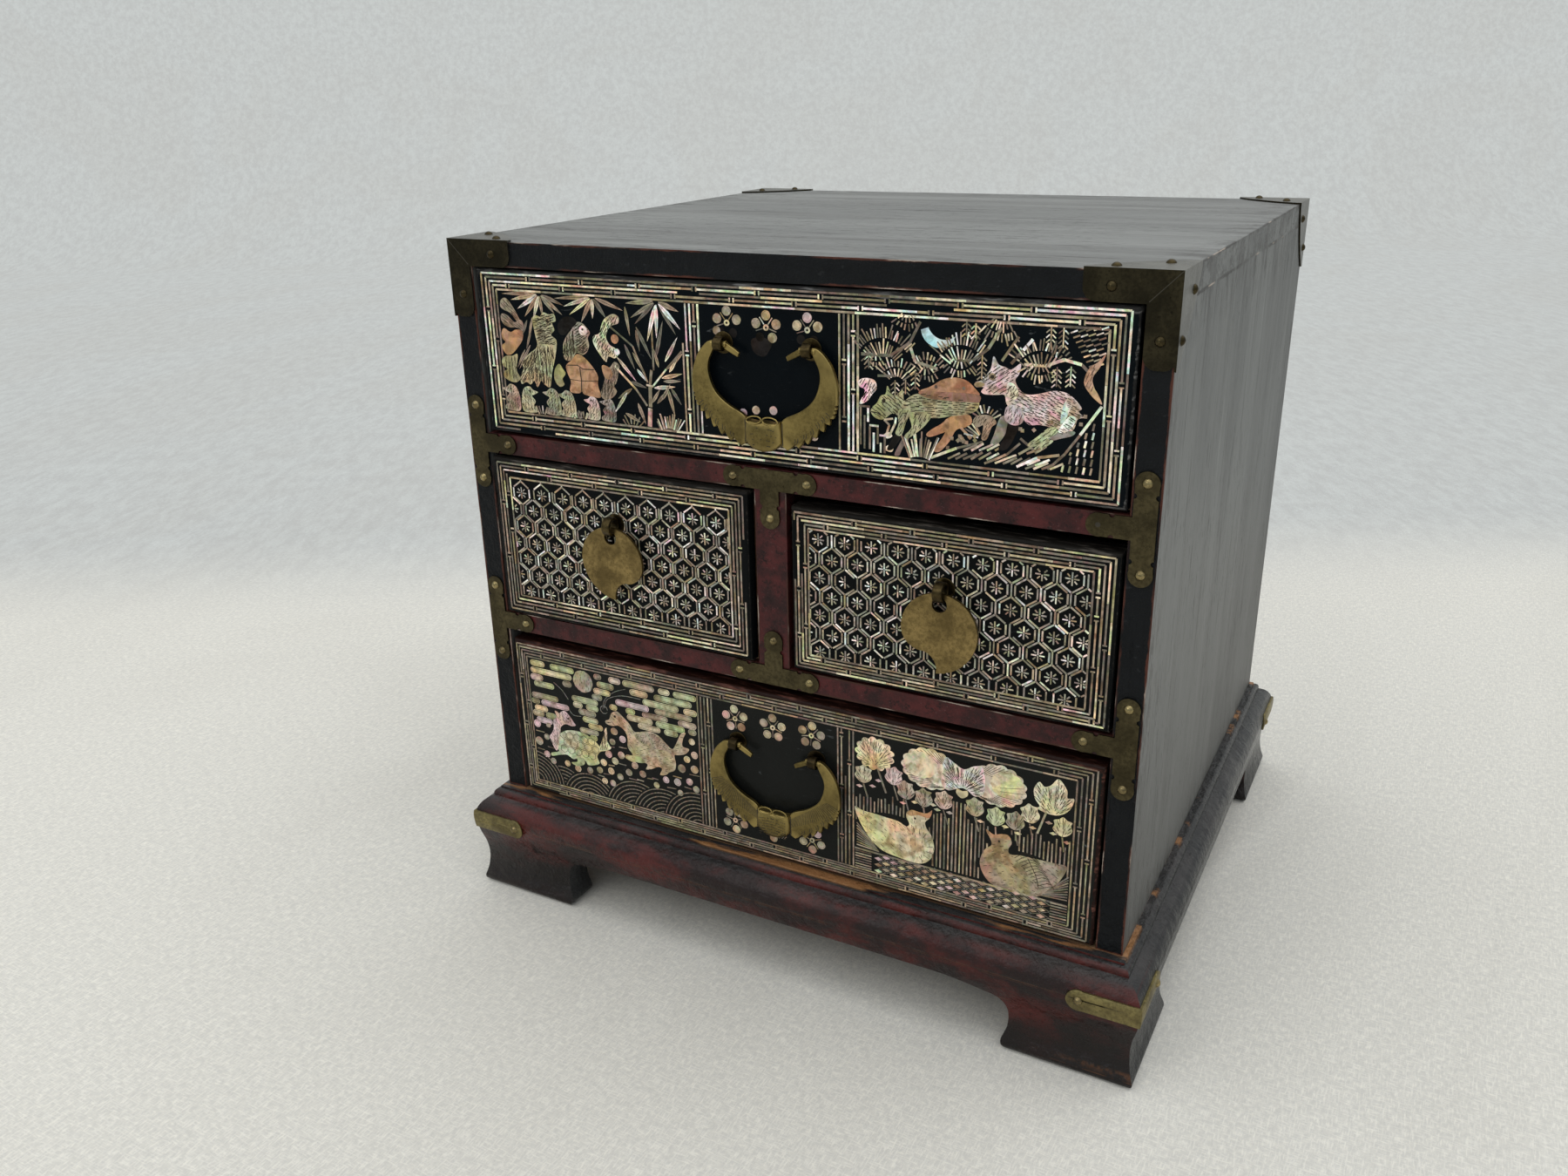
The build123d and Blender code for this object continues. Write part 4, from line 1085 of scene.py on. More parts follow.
def top_right_field(inlay):
    for points in (((44.6, 254), (57.4, 254.2), (66, 260), (70.4, 268.6)),
            ((66.4, 258), (68.4, 252.6), (78, 250.4)), ((83, 254.6), (92.6, 254.8), (99, 260), (104, 268.4)),
            ((113.6, 255), (122, 255), (129, 258)), ((129, 258), (136, 256.6), (140.2, 252.6)),
            ((52, 245.6), (60, 246.2)), ((104.6, 255.6), (111, 265.4)),
            ((108.4, 254.8), (113, 260.4), (116.6, 264.8))):
        inlay.path(points, 1.15)
    for centre, radius, start, stop in (((54.4, 255.4), 12.4, 12, 168), ((73.6, 250.6), 6.6, 10, 170),
            ((60.4, 246.4), 7.6, 15, 165), ((87.4, 255.6), 10.8, 25, 165), ((103.6, 270.2), 8.8, 205, 320),
            ((64.4, 270.2), 6.2, 205, 320), ((119.4, 255.6), 10.8, 40, 165), ((126.6, 258.6), 5.4, 5, 120),
            ((119.6, 254.4), 6.8, 195, 345), ((87.4, 253.6), 6.8, 200, 340), ((50.4, 253.6), 5.6, 205, 320),
            ((73.4, 249.6), 5.2, 215, 330)):
        pine(inlay, centre, radius, start, stop)
    for x, high in ((59.8, 244.4), (64.4, 244.8), (126.6, 255), (132, 255.6), (96.6, 257.4), (93.6, 269.4),
            (89.8, 270), (128.4, 270), (123.6, 270), (68.6, 249), (48, 256)):
        droop(inlay, x, high, random.choice((3, 4, 4, 5)))
    for row in range(8):
        for k in range(5 - row // 2):
            a = (131.0 + k * 2.9 + row * 1.1, 268.2 - row * 1.75 + k * 0.5)
            inlay.bar(a, (a[0] + 2.6, a[1] + 1.1), 0.6)
    # crescent moon
    outer = [polar((78.4, 266.6), 7.8, 188 + 128 * k / 14) for k in range(15)]
    inner = [polar((80.6, 269.4), 7.3, 310 - 108 * k / 12) for k in range(13)]
    inlay.plate(MOON, outer + inner, round_off=False, painted_glint=0.22)
    # the left deer
    body = inlay.plate(OLIVE, [(49, 230.6), (50.4, 228.4), (53.6, 227.4), (56, 228.6), (58.8, 230.6),
        (62.4, 229.6), (66, 230.4), (72, 230.6), (78, 230.4), (84, 231.8), (90, 233), (94.4, 234.8),
        (96, 237.6), (94, 239), (82, 239.4), (70.6, 239.8), (66.4, 238.2), (63.8, 236.4), (63.2, 240.8),
        (60.6, 238.4), (58.2, 238.8), (56.4, 241.8), (55.6, 238.4), (53.4, 237.4), (51.8, 234.4),
        (49.8, 232.4)], painted_glint=0.10)
    inlay.strokes(body, lambda p: -35 if p[0] < 63 else 4, 1.5, 2.2, 0.3)
    inlay.eye((54.8, 235.4), 0.85, 10)
    inlay.cut([(49.2, 230.4), (51.8, 230.2), (53.8, 229.2)], 0.5)
    for leg in ([(61.4, 232), (66.8, 233), (64.8, 227.4), (62.8, 221.8), (60.2, 222.4), (61.6, 226.6)],
            [(66.4, 231.6), (75.6, 232), (73.4, 227.2), (68.6, 222.8), (65.2, 220.6), (64.4, 222),
            (67.4, 225.8)]):
        shape = inlay.plate(OLIVE, leg, level=1, painted_glint=0.08)
        inlay.strokes(shape, -112, 1.4, 2.0, 0.26, 1)
    inlay.plate(SMOKE, [(60.2, 222), (62.8, 221.4), (59.8, 216.2), (57.4, 214.8), (56.6, 216)])
    inlay.plate(BROWN, [(64.4, 222), (66.2, 220.8), (63.4, 216.4), (62, 213.2), (59.8, 213.2), (61.8, 217.6)])
    inlay.plate(CREAM, [(55, 215.2), (57.4, 217.2), (59.4, 216.4), (58.4, 214.2)], painted_glint=0.6)
    inlay.plate(ORANGE, [(70.8, 241), (75.4, 243.2), (80.4, 246.4), (85.4, 247.6), (90.4, 246.8), (94, 244),
        (95.8, 241.4), (88, 241.6), (78, 241.2)])
    inlay.plate(RUST, [(70.4, 239.8), (71.2, 241), (78, 241.3), (88, 241.7), (95.8, 241.5), (96.2, 238.8),
        (94, 238.4), (82, 238), (74, 238.4)], level=1)
    for at in ((77.6, 243.2), (89.4, 243.6)):
        inlay.disc(at, 0.75, BROWN, level=1, sides=8)
    for leg in ([(81.4, 229.4), (84.4, 231.8), (88.4, 233.2), (92.4, 232.8), (93, 229.8), (90.2, 227.8),
            (86.6, 226.4), (84, 221.6), (79.8, 216.8), (77, 217.2), (80.2, 221.8), (82.2, 225.8)],
            [(83, 230.6), (80, 228.2), (76, 225.6), (73.8, 223.4), (75.2, 222.4), (79.4, 224),
            (83.4, 226.4)]):
        inlay.plate(ORANGE, leg)
    # the right deer
    for tint, leg in ((BROWN, [(105, 233.6), (108.8, 233.4), (108, 228.6), (104.6, 223), (101.2, 222),
            (102.6, 226.4)]), (SMOKE, [(108.6, 232.6), (112.6, 231.6), (111.2, 226.4), (108.2, 221),
            (104.6, 220.6), (107, 226)]), (GREEN, [(125.4, 231.8), (128.6, 230.4), (124.6, 227),
            (119.4, 223.2), (116.4, 223.6), (120.4, 227.4)]), (GREEN,
            [(124.6, 227.4), (126.6, 226), (122.4, 222.4), (120.6, 220.8), (118.6, 221.6), (121.4, 224.6)]),
            (BROWN, [(127.4, 230), (134.6, 230.8), (134, 229), (129.4, 227.4), (126.4, 226.4),
            (124.4, 227.4)])):
        shape = inlay.plate(tint, leg, painted_glint=0.2)
        if tint == GREEN:
            inlay.strokes(shape, -140, 1.4, 1.8, 0.26)
    body = inlay.plate(PINK, [(94.2, 246.4), (96.8, 247.6), (99, 250.4), (100.4, 252.8), (101.2, 257.2),
        (103.4, 254.2), (106, 253.4), (108.6, 252.6), (112.2, 255.2), (111.8, 251.2), (110.4, 249),
        (111, 246.8), (113.2, 244.2), (116.4, 243.4), (121, 244.4), (126, 245.8), (130.6, 245.4),
        (134.2, 243.2), (137, 240), (135.8, 238.6), (138, 236.6), (135.6, 235.6), (134.6, 232),
        (132.4, 229.6), (129, 229), (126, 231.2), (121, 232), (116.6, 231.6), (113.4, 234.4), (109.8, 236.6),
        (107.2, 239), (106.2, 242.4), (103, 242.2), (98.4, 242), (96.6, 243), (97.6, 244.8), (94.4, 244.6)],
        painted_glint=0.5)
    inlay.strokes(body, lambda p: 35 if p[0] < 109 else -18, 1.5, 2.2, 0.3)
    shoulder = inlay.plate(PINK, [(107.6, 238.2), (111.4, 238.8), (114.4, 235.8), (113.8, 232),
        (110.4, 230.8), (107, 232.4), (106.6, 235.4)], level=1, painted_glint=0.3)
    inlay.strokes(shoulder, -110, 1.4, 1.8, 0.26, 1)
    inlay.disc((101, 249.2), 1.5, ORANGE_CREAM, level=1, sides=12)
    inlay.eye((101, 249.2), 0.8, 10)
    inlay.plate(ORANGE_CREAM, [(93.8, 246), (95.6, 246.8), (98, 246), (96.6, 244.8), (94.2, 244.8)], level=1)
    blush = inlay.plate(PALE, [(107.2, 247), (110, 247), (112, 243.4), (110.4, 241), (107.4, 242.4)], level=1,
        painted_glint=0.7)
    inlay.strokes(blush, 70, 1.2, 1.8, 0.26, 1)
    gleam = inlay.plate(BLUE, [(129, 233), (131, 235), (132.6, 239.4), (133.6, 243), (131.4, 243.6),
        (129.6, 239.4)], level=1, painted_glint=0.9)
    inlay.strokes(gleam, -18, 1.3, 1.6, 0.26, 1)
    rump = inlay.plate(PALE, [(128.4, 230), (131.6, 230.2), (134.2, 233), (135, 236), (132.6, 236.6),
        (130, 233.4)], level=1, painted_glint=1.0)
    inlay.strokes(rump, -24, 1.2, 1.8, 0.26, 1)
    # mushrooms, a fret cloud, rocks and grass
    stem = [(43.8, 233.4), (47, 234.4), (49.6, 237.6), (51.6, 240.4), (50.6, 243.6), (46.4, 244.2),
        (43.4, 242.8), (43.6, 240.6), (46.4, 239)]
    shape = inlay.plate(PINK, stem, painted_glint=0.9)
    inlay.strokes(shape, 60, 1.3, 3.0, 0.3)
    mushroom = [(97.4, 224), (99.6, 224), (101.4, 229), (103.4, 231), (101.4, 233.4), (98, 233.8),
        (94.6, 232.6), (93.6, 230), (95.8, 228.6), (98, 229.4)]
    inlay.strokes(inlay.plate(TAN, mushroom), 60, 1.4, 2.0)
    fan(inlay, (99, 231), 3.6, 7.0, 30, 150, 8)
    fan(inlay, (98, 224), 2.0, 8.0, 120, 170, 5)
    for a, b in (((42.6, 232.4), (48.6, 232.4)), ((44.4, 232), (44.4, 216)), ((47.8, 231.8), (47.8, 226)),
            ((46.2, 228.6), (46.2, 214.4)), ((48.4, 224.6), (52.6, 224.6)), ((48.6, 224), (48.6, 214.4)),
            ((52.2, 224), (52.2, 217)), ((50.4, 221.6), (50.4, 213.4)), ((53, 220.8), (56, 220.8)),
            ((55.4, 220.4), (55.4, 213.4)), ((53.6, 217.6), (53.6, 213.4)), ((42.6, 229), (42.6, 220.4))):
        inlay.bar(a, b, 0.85)
    fan(inlay, (71, 204), 9.6, 19.6, 64, 116, 13)
    for shrub in ([(56, 221), (57.4, 225.6), (55, 227.6), (59, 228.4)],
            [(57.4, 221), (60, 226.4), (60.4, 229)]):
        inlay.path(shrub, 0.9)
    inlay.plate(CREAM, [(54.6, 220.8), (57, 222.6), (58.8, 221), (56.6, 219.8)], painted_glint=0.8)
    for points in (((76, 213.8), (87, 219), (98, 222.8)), ((99, 214), (108, 218.6), (113.4, 223.8)),
            ((112.4, 214.2), (120.6, 218.8), (129.4, 220.8)), ((113.4, 225.8), (120, 221)),
            ((125, 214.6), (131.4, 221.4), (137, 229.6), (144.6, 241.4)), ((92, 224.6), (88.6, 227.6))):
        inlay.path(points, 1.0)
    for first, rise, count in (((83.4, 214.2), 0.30, 8), ((90, 218.4), 0.35, 5), ((103.4, 214.6), 0.20, 6),
            ((116, 213.8), 0.30, 4), ((113, 219.4), 0.55, 3)):
        for k in range(count):
            a = (first[0] + 3.3 * k, first[1] + rise * k)
            inlay.bar(a, (a[0] + random.uniform(4.4, 5.8), a[1] + random.uniform(2.6, 3.4)), 0.85)
    for x, high in ((130.6, 219), (133.4, 223.4), (136.2, 227.6), (139, 231.6), (141.8, 236)):
        z = 214.2
        while z < high - 2:
            inlay.bar((x, z), (x + 0.5, min(z + 2.8, high - 1)), 0.85)
            z += 3.5
    for k in range(26):
        x = random.uniform(82, 96) if k < 12 else random.uniform(113, 139)
        z = 213.8 + (x - 80) * 0.28 + random.uniform(4, 8)
        inlay.plate(TAN, moved(PEBBLE, x, z, 45 * (k % 2)), round_off=False)
    cliff = inlay.plate(ORANGE, [(144.8, 261), (142, 258), (138.8, 255.4), (137.2, 250), (139.6, 246),
        (143, 243), (144.6, 242.4), (142.8, 246), (141.2, 248.4), (140.4, 252), (142.8, 256)], painted_glint=0.2)
    inlay.strokes(cliff, 70, 1.4, 2.6)


def top_drawer_inlay():
    inlay = Inlay("top_drawer", TOP_FACE, glow=1.04)
    across = {(1, 0): joints(-124.5, 30.2, 9), (1, 2): joints(-123.5, 28.8, 10),
        (3, 0): joints(-137, 30.3, 10), (3, 2): joints(-128.5, 28.8, 10)}
    upright = {(1, 1): [224, 250], (1, 3): [233, 261], (3, 1): [237, 262], (3, 3): [219, 247]}
    border(inlay, (-152.4, -150, -148, -146.1, -144.2), (153.4, 151.4, 149.5, 147.6, 145.7),
        (277.7, 275.9, 274.1, 272.3, 270.4), (203.7, 205.8, 207.9, 209.9, 212), across, upright)
    band(inlay, (-41.6, -39.6, -37.5, -35.4, -33.3), 212.6, 269.8, 222, 26)
    band(inlay, (34.7, 36.8, 38.9, 41, 43.1), 212.6, 269.8, 226, 24)
    top_left_field(inlay)
    top_right_field(inlay)
    blossom(inlay, (-18.8, 262.6), missing=(2, 3))
    blossom(inlay, (0.4, 261.8), missing=(2,))
    blossom(inlay, (20, 262), missing=(2, 3))
    for x, z in ((-24, 259), (-12, 224), (3, 226.4), (-5.6, 225.8), (-1, 219), (22.6, 217)):
        inlay.disc((x, z), 1.9, PINK if z < 240 else BROWN, painted_glint=0.3)
    inlay.plate(SMOKE, [(-7, 256), (-2, 257.6), (3, 256), (2, 252.6), (-1, 249.4), (-5.6, 250.8)])
    inlay.build()


# -------------------------------------------------- bottom drawer: turtles in clouds, ducks and lotus

LOZENGE = [(-2.0, 0), (0, 0.95), (2.0, 0), (0, -0.95)]
BUD = [(0, -4.6), (2.6, -3.4), (4.2, -1.2), (3.6, 1.4), (4.2, 3.0), (2.0, 3.6), (0.2, 5.0), (-1.8, 3.6),
    (-4.0, 2.8), (-3.6, 0.8), (-4.4, -1.4), (-2.6, -3.6)]
CLOUD_HEIGHT = 3.4
CLOUD_RIM = 0.55
HAIR_LINE = 0.26
WAVE_LINE = 0.52
WAVE_PITCH = 2.15
WATER_LEFT = -147.2
WATER_RIGHT = -43.4
WATER_FOOT = 9.2
REED_PITCH = 1.84
LOTUS_HEART = (94.6, 66)


def capsule(left, right, z, radius):
    """The outline of a bar with round ends about two points."""
    ends = ((right, -90), (left, 90))
    return [polar((x, z), radius, first + 30 * k) for x, first in ends for k in range(7)]


def cloud(inlay, left, right, z, tint):
    """A capsule-shaped cloud with an engraved rim."""
    r = CLOUD_HEIGHT / 2 * random.uniform(0.92, 1.05)
    inlay.plate(tint, capsule(left + r, right - r, z, r), round_off=False, painted_glint=0.14)
    rim = capsule(left + r, right - r, z, r - CLOUD_RIM)
    inlay.cut(rim + rim[:1], 0.16)


def bottom_left_field(inlay):
    rows = (
        (78.9, ((-145.4, -136), (-132.6, -117.2), (-104.8, -100), (-95.6, -88.2), (-87, -68), (-65.6, -58.8),
                (-56.8, -43.4))),
        (74.8, ((-145.6, -119), (-103.2, -92.6), (-83, -72), (-68.4, -46.2))),
        (70.8, ((-146, -137.8), (-125.2, -119.4), (-105.6, -95), (-75.4, -54), (-51.2, -43.4))),
        (67.2, ((-144, -131), (-106.8, -100.4), (-92.2, -71.8), (-68.4, -46.4))),
        (63.6, ((-120, -103.4), (-96.2, -91.4), (-86.2, -80.4), (-76.2, -60.8), (-54.8, -44))),
        (60.2, ((-146.4, -129), (-119.4, -113.4), (-111.2, -103.4), (-85.6, -70), (-68.2, -51),
                (-49, -44.2))),
        (56.7, ((-146.8, -141.4), (-140.4, -122.4), (-116.2, -105.2), (-79.2, -65.6), (-63.4, -55.2))),
        (52.8, ((-145.2, -136.6), (-114, -104.2))),
        (49.6, ((-146.8, -139.2), (-138.2, -131.2), (-110.6, -101.4))),
        (46.0, ((-144.6, -134.2), (-116.4, -104.4))),
        (42.8, ((-110.2, -105.4),)),
    )
    tints = (CREAM, TAN, GREEN, CREAM, TAN, GREEN, PINK)
    for number, (z, spans) in enumerate(rows):
        for k, (left, right) in enumerate(spans):
            cloud(inlay, left, right, z, tints[(number * 3 + k * 2) % len(tints)])
    sun = inlay.disc((-111.8, 74.4), 6.1, TAN, sides=32, painted_glint=0.2)
    inlay.strokes(sun, 80, 2.6, 1.4, 0.2)
    # the left turtle, neck bent back
    shell_plate = inlay.plate(GREEN, [(-133.8, 33), (-131, 39), (-126, 43), (-119, 44.4), (-112, 43.6),
        (-107, 41), (-103.8, 38.4), (-101, 42), (-99.8, 46.6), (-99, 51), (-100.6, 45.4), (-98.4, 41.4),
        (-97.4, 39), (-101, 37), (-104.4, 35.6), (-106.6, 32), (-105.4, 28.6), (-109.6, 26.4), (-113, 25.8),
        (-114.6, 27.8), (-119.4, 28), (-122.6, 27), (-126.4, 28.6), (-131.4, 27.4), (-136.6, 25.6),
        (-136.8, 27.4), (-131.6, 29.6)], painted_glint=0.35)
    inlay.plate(GREEN, [(-124, 24.6), (-120, 26), (-119.6, 28.6), (-115.6, 29), (-115.4, 25.6),
        (-120.2, 23.4)])
    neck = inlay.plate(PINK, [(-133.6, 29.6), (-137, 36.6), (-135, 40), (-133.6, 43.6), (-133.8, 47),
        (-130.8, 50.4), (-128.4, 53.2), (-125.6, 54.6), (-122.6, 52.4), (-120, 49), (-119, 47.6),
        (-121.6, 46.6), (-125.6, 47), (-129, 44.4), (-129.6, 41), (-131, 37.6), (-131.4, 33)], painted_glint=0.15)
    inlay.strokes(neck, -75, 1.5, 1.6, 0.22)
    inlay.plate(PINK, [(-130.6, 50), (-132, 53.4), (-129, 52)])
    inlay.eye((-123.4, 50.6), 0.6)
    for k in range(5):
        for j in range(3):
            centre = (-128 + 4.6 * k + 2.3 * (j % 2), 40.4 - 4.2 * j)
            if inside(centre, shell_plate):
                inlay.cut([polar(centre, 2.3, 60 * s + 30) for s in range(7)], 0.2)
    fan_tail = inlay.plate(CREAM, [(-104.6, 37), (-102.6, 42.6), (-99.8, 50.6), (-99, 47), (-99.4, 42),
        (-97, 39.6), (-100.4, 37.6)], level=1, painted_glint=0.4)
    inlay.strokes(fan_tail, 72, 1.0, 3.0, 0.22, 1)
    # the right turtle
    body = inlay.plate(ORANGE_CREAM, [(-99.4, 54.8), (-97, 56.2), (-95.2, 60), (-91.8, 61.8), (-88.4, 59.6),
        (-84.6, 56.4), (-81.8, 52.6), (-77.6, 53.4), (-72.4, 54.8), (-67, 53.6), (-62.4, 50), (-59, 48),
        (-56.4, 52), (-53.6, 57.6), (-50.6, 59), (-52.4, 55), (-52.8, 51), (-49, 50.2), (-51.4, 47),
        (-55.6, 45.4), (-58, 44.6), (-57.4, 40), (-58.4, 36), (-61.6, 34.2), (-64, 32), (-67.4, 31.4),
        (-66, 35), (-68.4, 35.6), (-72.4, 33.4), (-76, 32.4), (-74.8, 35.4), (-79, 36.2), (-83.4, 34.6),
        (-88.4, 36), (-87.6, 38), (-83.6, 38.6), (-86.4, 42.6), (-86.2, 47.6), (-87.6, 51.6), (-91.4, 53.8),
        (-95, 52.8), (-98.8, 53.2)], painted_glint=0.15)
    inlay.strokes(body, lambda p: -40 if p[0] < -82 else 10, 2.2, 1.5, 0.2)
    back = inlay.plate(TAN, [(-81.6, 50), (-77, 53), (-71.4, 54.2), (-66, 52.6), (-61.8, 48.6), (-59.4, 45),
        (-64, 46.4), (-70, 45.4), (-76, 46.4)], level=1, painted_glint=0.1)
    inlay.strokes(back, 60, 2.2, 2.0, 0.2, 1)
    inlay.plate(GREEN, [(-88, 36.6), (-83, 38.8), (-78.4, 38.4), (-76.2, 36.2), (-80, 35.2), (-84.4, 35.2)],
        level=1)
    inlay.eye((-93.2, 58.6), 0.7)
    inlay.cut([(-99.2, 54.2), (-96, 54.4)], 0.3)
    # breath curling up, drawn in hair lines
    for points in (((-100.6, 61), (-98.8, 67), (-92.4, 72.6), (-85.4, 75.6)),
            ((-99.6, 62), (-97, 67.6), (-88, 71.4), (-76.6, 71.8)), ((-122.4, 62), (-126, 66.6), (-131, 70)),
            ((-123, 57), (-120, 53.6), (-115, 53.8))):
        inlay.path(smooth(points, closed=False), HAIR_LINE, (0.17, 0.17, 0.16))
    inlay.path([polar((-99.8, 61), 2.2, 30 * k) for k in range(12)], HAIR_LINE, (0.2, 0.2, 0.18))
    dots = ((-144.6, 43.2, 2.2), (-137.2, 43.8, 1.5), (-139, 36.4, 1.8), (-144.4, 32.8, 2.5),
        (-140, 25.8, 2.0), (-136, 22.6, 1.8), (-126.6, 23.4, 1.8), (-119.8, 22, 2.0), (-112, 22.8, 1.9),
        (-105.6, 24.6, 1.9), (-102.6, 29.8, 2.0), (-98.2, 25.8, 2.0), (-99, 35.6, 2.1), (-95.2, 32.4, 2.0),
        (-91, 36.8, 2.1), (-96, 43.4, 1.8), (-89.4, 46.4, 2.0), (-94.4, 49.8, 2.1), (-82.8, 32.8, 2.0),
        (-86.8, 27.8, 2.0), (-92.6, 23.8, 1.9), (-78.2, 29, 2.0), (-102.8, 18.8, 1.8), (-97.6, 18.8, 1.8),
        (-70, 24.6, 1.7), (-64, 29.2, 1.9), (-57, 29.6, 2.1), (-55.6, 23.8, 1.7), (-49.8, 31.6, 1.9),
        (-46, 28.2, 1.9), (-54, 38.2, 2.3), (-46.4, 39.4, 2.2), (-50.6, 44.2, 1.9), (-46, 47.6, 2.0),
        (-47.2, 54.8, 1.8))
    for x, z, r in dots:
        inlay.disc((x, z), r, random.choice((CREAM, PINK, TAN, TAN)), sides=14, painted_glint=0.2)
        inlay.path([polar((x, z), r * 0.7, 40 * k) for k in range(10)], 0.12, (0.14, 0.11, 0.08), level=1)
    for x, z in ((-146, 28.2), (-139, 30.6), (-146, 38.8), (-107, 21.4), (-103.4, 23), (-99.6, 29),
            (-93.4, 31.6), (-87, 24.4), (-82, 25), (-75.6, 27.2), (-72.6, 28.2), (-63.6, 25), (-59.6, 32.6),
            (-53, 28), (-92, 41.4), (-99, 40), (-49.6, 36)):
        inlay.bar((x, z), (x + random.uniform(3.6, 6), z + random.uniform(-0.3, 0.5)), 0.5)
    # waves as nested arcs, each hidden by those before it
    waves = ((-148, 8.6, 17.4, 7), (-45, 5.2, 20.6, 8), (-65, 2.6, 20.4, 8), (-82, 2.8, 20.2, 8),
             (-112.4, 2.6, 17.6, 6), (-130.6, 3.4, 17.0, 6))
    taken = []
    for x, z, radius, count in waves:
        for k in range(count):
            r = radius - k * WAVE_PITCH
            last = None
            for step in range(61):
                at = polar((x, z), r, 3 * step)
                good = (WATER_FOOT < at[1] and WATER_LEFT < at[0] < WATER_RIGHT and r > 1
                        and all(math.dist(at, (cx, cz)) > cr + 0.9 for cx, cz, cr in taken))
                if last and good:
                    inlay.bar(last, at, WAVE_LINE, vary(DULL, 0.15), painted_glint=0.0)
                last = at if good else None
        taken.append((x, z, radius))


def scalloped(centre, rx, rz, lobes, depth):
    """An oval leaf outline with a scalloped rim."""
    out = []
    for k in range(lobes * 6):
        turn = 2 * math.pi * k / (lobes * 6)
        swell = 1 + depth * abs(math.sin(lobes * turn / 2))
        out.append((centre[0] + rx * swell * math.cos(turn), centre[1] + rz * swell * math.sin(turn)))
    return out


def away_from(centre):
    """A heading for strokes that radiate from a point."""
    return lambda p: math.degrees(math.atan2(p[1] - centre[1], p[0] - centre[0]))


def bottom_right_field(inlay):
    # reeds behind everything
    keep_out = (((62, 31), 20.5, 11.5), ((124, 29), 21, 11.2), ((74, 44), 6.6, 6), ((113.4, 43), 7, 6.2))
    x = 42.8
    while x < 144.6:
        high = 57.4 if 90 < x < 97.6 else random.uniform(46.6, 52.4)
        spans = [(20.6, high)]
        for (cx, cz), rx, rz in keep_out:
            off = (x - cx) / rx
            if abs(off) < 1:
                reach = rz * math.sqrt(1 - off * off)
                under = [(low, min(top, cz - reach)) for low, top in spans if low < cz - reach]
                above = [(max(low, cz + reach), top) for low, top in spans if top > cz + reach]
                spans = under + above
        for low, top in spans:
            if top - low > 2 and (low > 30 or 80 < x < 105):
                inlay.bar((x, low + 0.3), (x + random.uniform(-0.2, 0.2), top), 0.7)
        x += REED_PITCH
    for side, corner in ((1, (43, 20.4)), (-1, (144.6, 20.4))):
        for k in range(9):
            start = (corner[0], corner[1] + 1.2 + 1.5 * k)
            stop = (corner[0] + side * (11.6 - k * 0.5), corner[1] + 0.4 + 0.6 * k)
            inlay.bar(start, stop, 0.6)
    inlay.run((42, 19.6), (144.4, 18.6), 0.9)
    for k in range(7):
        z = 9.8 + 1.42 * k
        inlay.bar((42.2, z), (50.6, z), 0.55)
        inlay.bar((137.2, z), (144.8, z + 0.2), 0.6)
    for row in range(6):
        for k in range(11):
            centre = (54.2 + 7.9 * k + (3.95 if row % 2 else 0), 10.0 + 1.68 * row)
            if centre[0] > 136:
                continue
            inlay.plate(random.choice((TAN, CREAM, TAN, PINK)), moved(LOZENGE, *centre, size=1.05),
                round_off=False, painted_glint=random.choice((0, 0, 0.1, 0.7)))
            for dx, dz in ((1, 1), (1, -1)):
                a = (centre[0] + dx * 0.3, centre[1] + dz * 1.55)
                inlay.bar(a, (a[0] + 3.6, a[1] - dz * 1.5), 0.3, (0.13, 0.12, 0.10), painted_glint=0)
    # the ducks
    left = inlay.plate(CREAM, [(42, 42), (46, 40.8), (52, 40.6), (58, 40.2), (64, 39.8), (68, 38.2),
        (69.6, 40), (68.2, 43), (68.4, 46), (71, 47.2), (74.6, 47), (78, 47.4), (80.4, 49.6), (79.4, 45.6),
        (77.4, 43), (78, 40), (80.8, 36), (82, 30), (80.6, 24.6), (77, 21), (72, 20), (64, 20.6), (56.4, 22),
        (50.6, 26), (46, 32), (43.4, 37)], painted_glint=0.22)
    inlay.plate(ORANGE, [(68.2, 45.4), (70.6, 47.6), (74.4, 47.4), (78.2, 47.8), (80.6, 50), (79.2, 45.6),
        (74, 45.8), (70.4, 44.4)], level=1)
    inlay.strokes(left, lambda p: 150 if p[0] < 70 else 95, 3.0, 1.7, 0.18)
    for k in range(9):
        a = polar((72, 30), 9.4, -60 + 22 * k)
        inlay.cut([polar((72, 30), 6.4, -66 + 22 * k), a], 0.2)
    right = inlay.plate(TAN, [(143.6, 38.4), (138, 38.8), (130, 38.6), (123, 38.4), (118, 37.6), (117, 40),
        (118.4, 43.4), (117, 46.4), (113.6, 46.6), (109.6, 45.2), (106.4, 47), (108.2, 43.6), (109.2, 40),
        (106, 36.6), (104, 30), (105.6, 24.4), (109.6, 20), (116, 18.6), (124, 18.8), (131, 19.6),
        (136.6, 24), (141, 31)], painted_glint=0.06)
    inlay.plate(ORANGE, [(117.8, 45), (116.4, 47), (113.6, 46.8), (109.8, 45.6), (106.4, 47.4), (108.4, 43.8),
        (113, 44.6)], level=1)
    for k in range(12):
        base = lerp((120, 36.4), (132, 24), k / 11)
        inlay.cut(smooth([base, (base[0] + 5, base[1] + 3.6 - k * 0.1),
            (base[0] + 11 - k * 0.4, base[1] + 1.4)], closed=False), 0.22)
    inlay.strokes(right, lambda p: 20 if p[0] < 118 else -20, 3.0, 1.7, 0.18)
    inlay.cut(smooth([(126, 37.8), (130, 30), (131.6, 24)], closed=False), 0.3)
    for eye in ((72.4, 43.6), (112.6, 42.8)):
        inlay.eye(eye, 0.55)
